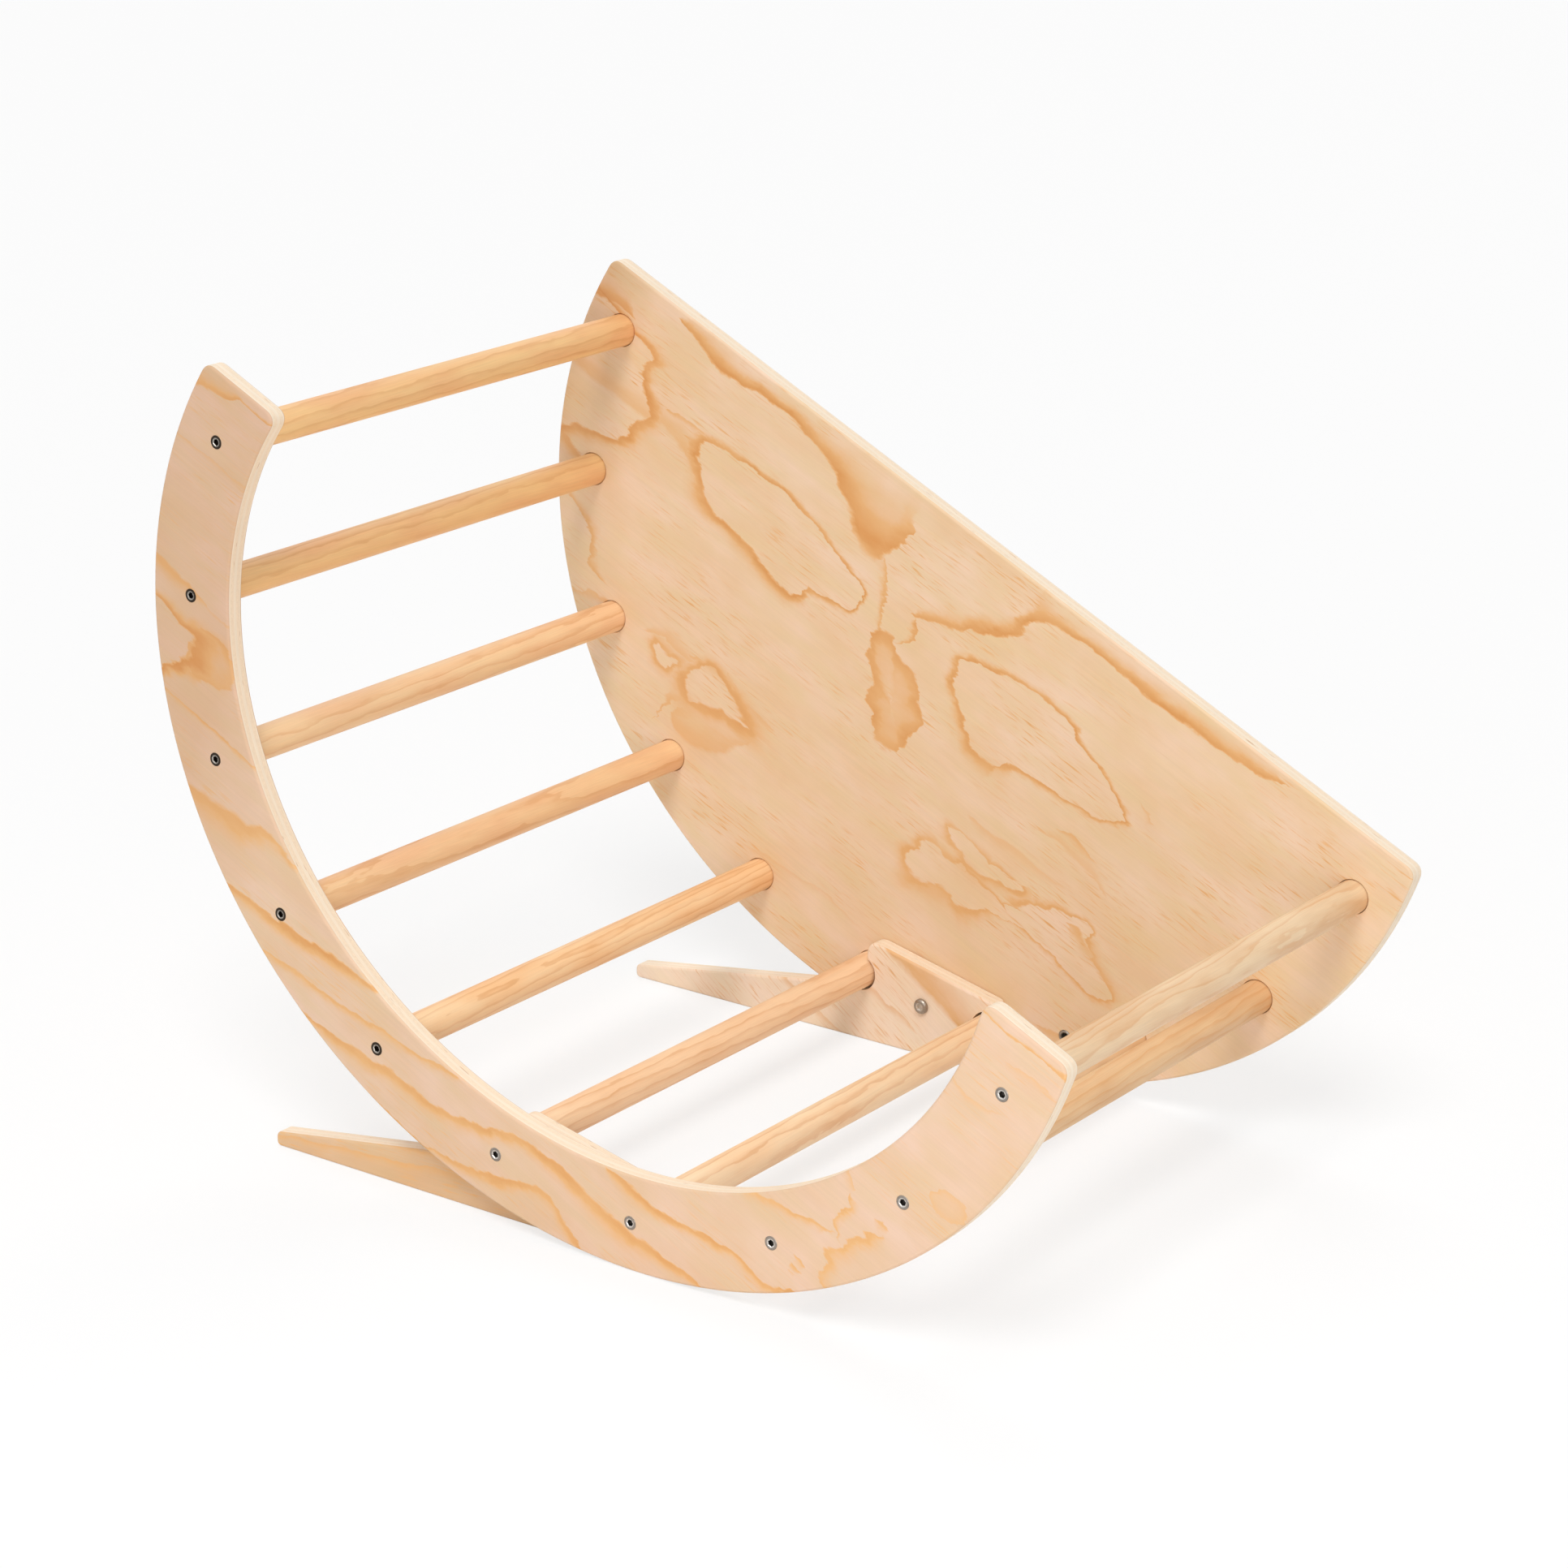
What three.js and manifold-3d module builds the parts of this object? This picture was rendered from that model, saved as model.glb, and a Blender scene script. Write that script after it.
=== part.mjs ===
// Wooden climbing arch on two stabiliser boards, in millimetres with +Z up.
// The arch lies curve down and tilted, with its rungs along Y. X runs from the raised end to the low end.
import * as THREE from 'three';
import { mergeVertices } from 'three/addons/utils/BufferGeometryUtils.js';
import Module from 'manifold-3d';

const wasm = await Module();
wasm.setup();

// Overall sizes of the arch
const archLength = 800;
const archRise = 400;
const archWidth = 470;
const bandWidth = 70;
const legHeight = 47;
const tiltDegrees = 26;

// Plywood plates and boards
const plateThickness = 15;
const edgeChamfer = 2;
const endCornerRadius = 10;

// Rungs and their blind sockets
const rungCount = 10;
const rungDiameter = 25;
const socketDepth = 7;
const socketClearance = 0.5;

// Gap between pieces that touch, and the overrun of every cut
const seatGap = 0.3;
const cutOverrun = 1;

// Countersunk screws that hold the rungs
const screwHeadDiameter = 10;
const screwHeadDepth = 3.5;
const screwShankDiameter = 5.5;
const screwLength = 50;
const screwTipLength = 4;
const screwKeyAcross = 4;
const screwKeyDepth = 2.5;

// Stabiliser boards: a tail from the tip to the left rung, and a head from there to the right rung
const boardReach = 335;
const boardTipHeight = 10.5;
const boardTipRadius = 4.5;
const boardTailDrop = 10;
const boardHeadInset = 6;
const boardHeadRiseLeft = 30;
const boardHeadRiseRight = 23;
const boardHeadRadius = 11;
const boardNoseReach = 6;
const boardNoseRadius = 4;
const boardToeRadius = 6;
const boardNotchClearance = 1.8;
const boardRungIndex = 5;
const spareRungIndex = 6;

// Board bolts and the threaded inserts that take them
const boltHeadDiameter = 12;
const boltHeadHeight = 3.3;
const boltHeadRimHeight = 1;
const boltShankDiameter = 5.6;
const boltLength = 25;
const boltKeyAcross = 4;
const boltKeyDepth = 2;
const boltHoleClearance = 0.5;
const insertDiameter = 10;
const insertLength = 12;

// Facets of the round shapes
const curveSteps = 30;
const cornerSteps = 5;
const rungSides = 24;
const screwSides = 12;
const notchSides = 32;
const chamferSteps = 1;
const keySides = 6;

// Steps that find places along the curve, and how close two points are to be the same
const halvingSteps = 48;
const stretchSteps = 48;
const tolerance = 0.0001;

// Places worked out from the sizes above
const tilt = THREE.MathUtils.degToRad(tiltDegrees);
const halfSpan = (archLength - bandWidth) / 2;
const curveDepth = archRise - bandWidth / 2 - legHeight;
const rungRadius = rungDiameter / 2;
const screwRadius = screwShankDiameter / 2;
const boltRadius = boltShankDiameter / 2;
const insertRadius = insertDiameter / 2;
const outerFace = archWidth / 2;
const innerFace = outerFace - plateThickness;
const boardFace = innerFace - seatGap;
const boardInnerFace = boardFace - plateThickness;

const plywood = { color: '#e8c69f', roughness: 0.62, metalness: 0 };
const pine = { color: '#eec08a', roughness: 0.55, metalness: 0 };
const darkSteel = { color: '#5d5650', roughness: 0.38, metalness: 0.9 };
const brightSteel = { color: '#8f8880', roughness: 0.35, metalness: 0.9 };
const zincSteel = { color: '#a8a39a', roughness: 0.45, metalness: 0.85 };

// The centreline of the band is a half ellipse, carried a little past its widest place.
// Angle 0 is its lowest point, and the offset goes outward, square to the curve.
function curvePoint(angle, offset = 0) {
  const along = new THREE.Vector2(halfSpan * Math.cos(angle), curveDepth * Math.sin(angle)).normalize();
  const x = halfSpan * Math.sin(angle) + offset * along.y;
  const z = -curveDepth * Math.cos(angle) - offset * along.x;
  return new THREE.Vector2(x, z);
}

// The angle at which the curve at this offset meets the straight edge
function endAngle(offset) {
  let low = Math.PI / 2;
  let high = Math.PI;
  for (let i = 0; i < halvingSteps; i += 1) {
    const middle = (low + high) / 2;
    if (curvePoint(middle, offset).y < legHeight) low = middle;
    else high = middle;
  }
  return low;
}

// Angles that part the half ellipse into stretches of equal length
function equalAngles(count) {
  const fineSteps = count * stretchSteps;
  const lengths = [0];
  const angleAt = (i) => (i / fineSteps - 1 / 2) * Math.PI;
  for (let i = 1; i <= fineSteps; i += 1) {
    lengths.push(lengths[i - 1] + curvePoint(angleAt(i)).distanceTo(curvePoint(angleAt(i - 1))));
  }
  const total = lengths[fineSteps];
  return Array.from({ length: count + 1 }, (_, k) => {
    const wanted = (k / count) * total;
    const after = Math.max(1, lengths.findIndex((length) => length >= wanted - tolerance));
    const part = (wanted - lengths[after - 1]) / (lengths[after] - lengths[after - 1]);
    return angleAt(after - 1 + part);
  });
}

const rungAngles = equalAngles(rungCount - 1);
const halfwayAngles = equalAngles((rungCount - 1) * 2);
const rungPlaces = rungAngles.map((angle) => curvePoint(angle));
const boltPlace = curvePoint(halfwayAngles[boardRungIndex * 2 + 1]);
const sparePlace = curvePoint(halfwayAngles[spareRungIndex * 2 + 1]);

// The tilted arch touches the floor where its outline runs level
const contactAngle = Math.atan2(halfSpan * Math.tan(tilt), curveDepth);
const contact = curvePoint(contactAngle, bandWidth / 2);

// A place of the arch's own frame as the tilted arch carries it, measured from the contact on the floor
function tilted(place) {
  return place.clone().sub(contact).rotateAround(new THREE.Vector2(), -tilt);
}

// The curve at one offset, from end to end, with a corner where the arch touches the floor
function curveRun(offset) {
  const last = endAngle(offset);
  const turns = [-last, contactAngle, last];
  const shares = [1 + contactAngle / last, 1 - contactAngle / last];
  const steps = shares.map((share) => Math.round(curveSteps * share));
  const points = [];
  steps.forEach((count, part) => {
    for (let i = part; i <= count; i += 1) {
      points.push(curvePoint(THREE.MathUtils.lerp(turns[part], turns[part + 1], i / count), offset));
    }
  });
  return points;
}

// A closed outline with its corners rounded, each by its own radius or as far as its sides allow
function roundedOutline(corners) {
  return corners.flatMap(({ point, radius }, i) => {
    if (!radius) return [point];
    const before = corners[(i + corners.length - 1) % corners.length].point;
    const after = corners[(i + 1) % corners.length].point;
    const towardBefore = before.clone().sub(point);
    const towardAfter = after.clone().sub(point);
    const halfTurn = (Math.PI - towardBefore.angleTo(towardAfter)) / 2;
    const room = Math.min(towardBefore.length(), towardAfter.length()) / 2;
    const fitted = Math.min(radius, room / Math.tan(halfTurn));
    const start = point.clone().add(towardBefore.setLength(fitted * Math.tan(halfTurn)));
    const end = point.clone().add(towardAfter.setLength(fitted * Math.tan(halfTurn)));
    return new THREE.QuadraticBezierCurve(start, point, end).getPoints(cornerSteps);
  });
}

// A closed three.js geometry as a solid that can be joined and cut
function solidOf(geometry) {
  geometry.deleteAttribute('normal');
  geometry.deleteAttribute('uv');
  const merged = mergeVertices(geometry, tolerance);
  const index = merged.index.array;
  const kept = [];
  for (let i = 0; i < index.length; i += 3) {
    const [a, b, c] = index.slice(i, i + 3);
    if (a !== b && b !== c && c !== a) kept.push(a, b, c);
  }
  const vertProperties = new Float32Array(merged.attributes.position.array);
  return new wasm.Manifold(new wasm.Mesh({ numProp: 3, vertProperties, triVerts: new Uint32Array(kept) }));
}

// The named mesh of a finished solid
function meshOf(name, solid, finish) {
  const { vertProperties, triVerts } = solid.getMesh();
  const geometry = new THREE.BufferGeometry();
  geometry.setAttribute('position', new THREE.BufferAttribute(new Float32Array(vertProperties), 3));
  geometry.setIndex(new THREE.BufferAttribute(new Uint32Array(triVerts), 1));
  geometry.computeVertexNormals();
  const mesh = new THREE.Mesh(geometry, new THREE.MeshStandardMaterial(finish));
  mesh.name = name;
  return mesh;
}

// A plate of one thickness with chamfered edges, from y = 0 to its thickness
function plateSolid(outline) {
  const geometry = new THREE.ExtrudeGeometry(new THREE.Shape(outline), {
    depth: plateThickness - 2 * edgeChamfer,
    bevelThickness: edgeChamfer,
    bevelSize: edgeChamfer,
    bevelOffset: -edgeChamfer,
    bevelSegments: chamferSteps,
  });
  geometry.rotateX(Math.PI / 2);
  geometry.translate(0, plateThickness - edgeChamfer, 0);
  return solidOf(geometry);
}

// A round bar along Y between two depths, at a place of the XZ plane
function barSolid(radius, from, to, place, sides) {
  const geometry = new THREE.CylinderGeometry(radius, radius, to - from, sides);
  geometry.translate(place.x, (from + to) / 2, place.y);
  return solidOf(geometry);
}

// A turned solid about Y from radius and height pairs that start and end on the axis, going up
function turnedSolid(profile, sides) {
  const points = profile.map(([radius, y]) => new THREE.Vector2(radius, y));
  return solidOf(new THREE.LatheGeometry(points, sides));
}

// A hexagonal key socket that opens at the height given and goes down from it
function keySolid(across, depth, top) {
  const height = depth + cutOverrun;
  const radius = across / Math.sqrt(3);
  const geometry = new THREE.CylinderGeometry(radius, radius, height, keySides);
  geometry.translate(0, top + cutOverrun - height / 2, 0);
  return solidOf(geometry);
}

// Countersunk screw with its head's flat face at y = 0 and its point below
function screwSolid() {
  const profile = [
    [0, -screwLength],
    [screwRadius, screwTipLength - screwLength],
    [screwRadius, -screwHeadDepth],
    [screwHeadDiameter / 2, 0],
    [0, 0],
  ];
  return turnedSolid(profile, screwSides).subtract(keySolid(screwKeyAcross, screwKeyDepth, 0));
}

// The room a screw takes in a plate, opening at y = 0
function screwHoleSolid() {
  const wideRadius = screwHeadDiameter / 2 + seatGap;
  const profile = [
    [0, -plateThickness],
    [screwRadius + seatGap, -plateThickness],
    [screwRadius + seatGap, -screwHeadDepth],
    [wideRadius, 0],
    [wideRadius, cutOverrun],
    [0, cutOverrun],
  ];
  return turnedSolid(profile, screwSides);
}

// Button-head bolt with the underside of its head at y = 0
function boltSolid() {
  const headRadius = boltHeadDiameter / 2;
  const profile = [
    [0, -boltLength],
    [boltRadius, -boltLength],
    [boltRadius, 0],
    [headRadius, 0],
    [headRadius, boltHeadRimHeight],
    [(headRadius + boltKeyAcross) / 2, boltHeadHeight],
    [0, boltHeadHeight],
  ];
  return turnedSolid(profile, screwSides).subtract(keySolid(boltKeyAcross, boltKeyDepth, boltHeadHeight));
}

// Threaded insert, its open face at y = 0
function insertSolid() {
  const origin = new THREE.Vector2();
  const bore = barSolid(boltRadius + seatGap, -insertLength - cutOverrun, cutOverrun, origin, screwSides);
  return barSolid(insertRadius, -insertLength, 0, origin, screwSides).subtract(bore);
}

// Holes that the rail and the panel share, cut into a plate whose inner face is at its thickness
function drilled(plate) {
  let solid = plate;
  const socketFloor = plateThickness - socketDepth;
  for (const place of rungPlaces) {
    const socket = barSolid(
      rungRadius + socketClearance, socketFloor, plateThickness + cutOverrun, place, rungSides,
    );
    const screwHole = screwHoleSolid().rotate([180, 0, 0]).translate([place.x, 0, place.y]);
    solid = solid.subtract(socket).subtract(screwHole);
  }
  const insertFloor = plateThickness - insertLength - seatGap;
  for (const place of [boltPlace, sparePlace]) {
    solid = solid.subtract(
      barSolid(insertRadius + seatGap, insertFloor, plateThickness + cutOverrun, place, screwSides),
    );
  }
  return solid;
}

// Open band along the curve, cut straight at both ends
function railOutline() {
  const outside = curveRun(bandWidth / 2);
  const inside = curveRun(-bandWidth / 2).reverse();
  const ends = (points) => points.map((point, i) => {
    const isEnd = i === 0 || i === points.length - 1;
    return { point, radius: isEnd ? endCornerRadius : 0 };
  });
  return roundedOutline([...ends(outside), ...ends(inside)]);
}

// Full side: the same outer curve, closed by the straight edge
function panelOutline() {
  const outside = curveRun(bandWidth / 2);
  return roundedOutline(outside.map((point, i) => {
    const isEnd = i === 0 || i === outside.length - 1;
    return { point, radius: isEnd ? endCornerRadius : 0 };
  }));
}

// Stabiliser board with a flat underside, hugging two neighbouring rungs
function boardSolid() {
  const left = tilted(rungPlaces[boardRungIndex]);
  const right = tilted(rungPlaces[boardRungIndex + 1]);
  const tipX = right.x - boardReach;
  const headX = left.x + boardHeadInset;
  const noseX = right.x + boardNoseReach;
  const tailSlope = (left.y - boardTailDrop - boardTipHeight) / (left.x - tipX);
  const topSlope = (right.y + boardHeadRiseRight - left.y - boardHeadRiseLeft) / (right.x - left.x);
  const topAt = (x) => left.y + boardHeadRiseLeft + topSlope * (x - left.x);
  const corner = (x, z, radius = 0) => ({ point: new THREE.Vector2(x, z), radius });
  const outline = roundedOutline([
    corner(tipX, 0, boardTipRadius),
    corner(right.x, 0, boardToeRadius),
    corner(noseX, right.y),
    corner(noseX, topAt(noseX), boardNoseRadius),
    corner(headX, topAt(headX), boardHeadRadius),
    corner(headX, boardTipHeight + tailSlope * (headX - tipX)),
    corner(tipX, boardTipHeight, boardTipRadius),
  ]);
  const notchRadius = rungRadius + boardNotchClearance;
  const notches = [left, right].map((place) => (
    barSolid(notchRadius, -cutOverrun, plateThickness + cutOverrun, place, notchSides)
  ));
  const holeRadius = boltRadius + boltHoleClearance;
  const boltHole = barSolid(
    holeRadius, -cutOverrun, plateThickness + cutOverrun, tilted(boltPlace), screwSides,
  );
  return plateSolid(outline).subtract(notches[0]).subtract(notches[1]).subtract(boltHole);
}

// Round rung between its socket floors, with a pilot hole in each end
function rungSolid() {
  const origin = new THREE.Vector2();
  const end = innerFace + socketDepth - seatGap;
  const pilotFloor = outerFace - screwLength - seatGap;
  const pilotRadius = screwRadius + seatGap;
  const nearPilot = barSolid(pilotRadius, -end - cutOverrun, -pilotFloor, origin, screwSides);
  const farPilot = barSolid(pilotRadius, pilotFloor, end + cutOverrun, origin, screwSides);
  return barSolid(rungRadius, -end, end, origin, rungSides).subtract(nearPilot).subtract(farPilot);
}

// A mesh turned to face -Y or +Y and moved to its place
function placed(mesh, place, y, facing) {
  mesh.rotation.z = facing < 0 ? Math.PI : 0;
  mesh.position.set(place.x, y, place.y);
  return mesh;
}

// The tilted arch: its two sides, the rungs, their screws and the threaded inserts
const arch = new THREE.Group();
arch.rotation.y = tilt;
const lowered = contact.clone().rotateAround(new THREE.Vector2(), -tilt);
arch.position.set(-lowered.x, 0, -lowered.y);

const rail = meshOf('arch_side_rail', drilled(plateSolid(railOutline())), plywood);
rail.position.y = -outerFace;
arch.add(rail);

const panelPlate = drilled(plateSolid(panelOutline())).mirror([0, 1, 0]);
const panel = meshOf('full_side_panel', panelPlate, plywood);
panel.position.y = outerFace;
arch.add(panel);

rungPlaces.forEach((place, i) => {
  const number = String(i + 1).padStart(2, '0');
  arch.add(placed(meshOf(`rung_${number}`, rungSolid(), pine), place, 0, 1));
  arch.add(placed(meshOf(`rail_screw_${number}`, screwSolid(), darkSteel), place, -outerFace, -1));
  arch.add(placed(meshOf(`panel_screw_${number}`, screwSolid(), darkSteel), place, outerFace, 1));
});

arch.add(placed(meshOf('rail_board_insert', insertSolid(), zincSteel), boltPlace, -innerFace, 1));
arch.add(placed(meshOf('panel_board_insert', insertSolid(), zincSteel), boltPlace, innerFace, -1));
arch.add(placed(meshOf('rail_spare_insert', insertSolid(), zincSteel), sparePlace, -innerFace, 1));
arch.add(placed(meshOf('panel_spare_insert', insertSolid(), zincSteel), sparePlace, innerFace, -1));

// The boards stand flat on the floor, each bolted to the inside of one side
const part = new THREE.Group();
part.add(arch);

const railBoard = meshOf('rail_stabiliser_board', boardSolid(), plywood);
railBoard.position.y = -boardFace;
part.add(railBoard);

const panelBoard = meshOf('panel_stabiliser_board', boardSolid(), plywood);
panelBoard.position.y = boardInnerFace;
part.add(panelBoard);

const boltSeat = boardInnerFace - seatGap;
const boltCentre = tilted(boltPlace);
part.add(placed(meshOf('rail_board_bolt', boltSolid(), brightSteel), boltCentre, -boltSeat, 1));
part.add(placed(meshOf('panel_board_bolt', boltSolid(), brightSteel), boltCentre, boltSeat, -1));

// The origin is the middle of the footprint, on the floor
const climbingArch = new THREE.Group();
climbingArch.add(part);
const bounds = new THREE.Box3().setFromObject(climbingArch, true);
part.position.x = -(bounds.min.x + bounds.max.x) / 2;

export default climbingArch;
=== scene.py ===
"""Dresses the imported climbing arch: plywood sides and boards, pine rungs, steel screws, bolts and inserts.

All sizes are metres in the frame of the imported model: X along the arch, Y along the rungs, Z up from
the floor. The wood patterns are drawn in millimetres of the arch's own frame, before it is tilted.
"""

import logging
import math
from collections.abc import Callable
from dataclasses import dataclass
from enum import Enum
from functools import partial, reduce
from typing import Any

import bmesh
import bpy
from mathutils import Matrix, Vector


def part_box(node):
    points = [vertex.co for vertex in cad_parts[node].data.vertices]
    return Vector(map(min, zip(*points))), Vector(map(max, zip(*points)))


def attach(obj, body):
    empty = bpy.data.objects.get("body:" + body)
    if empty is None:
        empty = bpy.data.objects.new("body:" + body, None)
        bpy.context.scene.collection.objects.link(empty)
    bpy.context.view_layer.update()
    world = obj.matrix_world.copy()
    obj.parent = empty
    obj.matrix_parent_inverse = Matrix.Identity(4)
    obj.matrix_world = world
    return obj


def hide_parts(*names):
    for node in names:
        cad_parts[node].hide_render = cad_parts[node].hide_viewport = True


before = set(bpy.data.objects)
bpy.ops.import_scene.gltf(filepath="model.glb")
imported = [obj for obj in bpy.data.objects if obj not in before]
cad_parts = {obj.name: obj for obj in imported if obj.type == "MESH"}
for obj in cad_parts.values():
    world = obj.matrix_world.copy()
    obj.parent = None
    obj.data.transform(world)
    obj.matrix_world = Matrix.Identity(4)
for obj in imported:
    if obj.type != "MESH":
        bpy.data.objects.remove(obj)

LOG = logging.getLogger("climbing_arch")
BODY = "root"
MM = 0.001
AXIS_DISTANCE = "axis_distance"
# Y of the outer and inner faces of the sides, and each side's word in the names with the sign of its Y
OUTER_FACE = 0.235
INNER_FACE = 0.220
SIDES = (("rail", -1), ("panel", 1))
Point = tuple[float, float]
Point3 = tuple[float, float, float]
Colour = tuple[float, float, float, float]
Node = bpy.types.Node
Thing = bpy.types.Object
Material = bpy.types.Material
Put = Callable[..., Node]


def colour(code: str) -> Colour:
    """Turns an sRGB colour into a linear one.

    Args:
        code: Hex colour with its leading sign.

    Returns:
        Linear red, green and blue, and an alpha of one.
    """
    parts = [int(code[i : i + 2], 16) / 255 for i in (1, 3, 5)]
    linear = [c / 12.92 if c <= 0.04045 else ((c + 0.055) / 1.055) ** 2.4 for c in parts]
    return (linear[0], linear[1], linear[2], 1.0)


def add_node(
    tree: bpy.types.NodeTree, kind: str, inputs: dict[Any, Any] | None = None, **settings: Any
) -> Node:
    """Adds a shader node, sets its options, and fills or links its sockets.

    Args:
        tree: Node tree that gets the node.
        kind: Blender's name of the node type after "ShaderNode", then its operation or, for a mix, its
            kind of data.
        inputs: Socket name or number to a value, a hex colour, or the output or node that feeds it.
        **settings: Other options of the node.

    Returns:
        The new node.
    """
    kind, _, word = kind.partition(" ")
    made = tree.nodes.new("ShaderNode" + kind)
    if word:
        setattr(made, "data_type" if kind == "Mix" else "operation", word)
    for name, value in settings.items():
        setattr(made, name, value)
    for name, value in (inputs or {}).items():
        if isinstance(value, Node):
            value = next(socket for socket in value.outputs if socket.enabled)
        if isinstance(value, bpy.types.NodeSocket):
            tree.links.new(value, made.inputs[name])
        else:
            made.inputs[name].default_value = colour(value) if isinstance(value, str) else value
    return made


def span(low: float, high: float, to_low: float = 0.0, to_high: float = 1.0) -> dict[int, float]:
    """Returns the sockets of a map range: from low and high, to to_low and to_high."""
    return {1: low, 2: high, 3: to_low, 4: to_high}


def blank(block: Any) -> Put:
    """Empties the nodes of a material or world.

    Args:
        block: The material or world.

    Returns:
        What adds nodes to it.
    """
    block.use_nodes = True
    block.node_tree.nodes.clear()
    return partial(add_node, block.node_tree)


def noise(
    put: Put, place: Node, scale: Point3, detail: float, rough: float = 0.5, shift: Point3 = (0.0, 0.0, 0.0)
) -> Node:
    """Adds noise that is drawn out along the grain.

    Args:
        put: Adds a node to the tree.
        place: Place on the wood in millimetres.
        scale: Waves per millimetre each way.
        detail: Detail of the noise.
        rough: Roughness of the noise.
        shift: Where on the noise the wood lies.

    Returns:
        The noise node.
    """
    drawn = put("Mapping", {"Vector": place, "Scale": scale, "Location": shift})
    return put("TexNoise", {"Vector": drawn, "Scale": 1.0, "Detail": detail, "Roughness": rough})


def bend(made: Node, points: Any, handle: str = "VECTOR") -> Node:
    """Shapes a float curve.

    Args:
        made: The curve's node.
        points: Place and value of each point, in order.
        handle: How the curve bends at its points.

    Returns:
        The same node.
    """
    line = made.mapping.curves[0]
    while len(line.points) < len(points):
        line.points.new(1.0, 1.0)
    for point, spot in zip(line.points, points):
        point.location = spot
        point.handle_type = handle
    made.mapping.update()
    return made


def coat(put: Put, paint: Any, height: Node, satin: Point, strength: float) -> None:
    """Finishes wood with a satin coat, which follows the grain.

    Args:
        put: Adds a node to the tree.
        paint: The wood's colour.
        height: Height of the grain.
        satin: Roughness in the pores and on the ridges.
        strength: Strength of the relief.
    """
    dull = put("MapRange", {0: height, **span(0.0, 1.0, *satin)})
    bump = put("Bump", {"Strength": strength, "Distance": 0.0002, "Height": height})
    shader = put("BsdfPrincipled", {"Base Color": paint, "Roughness": dull, "Normal": bump, "IOR": 1.46})
    put("OutputMaterial", {"Surface": shader})


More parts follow.
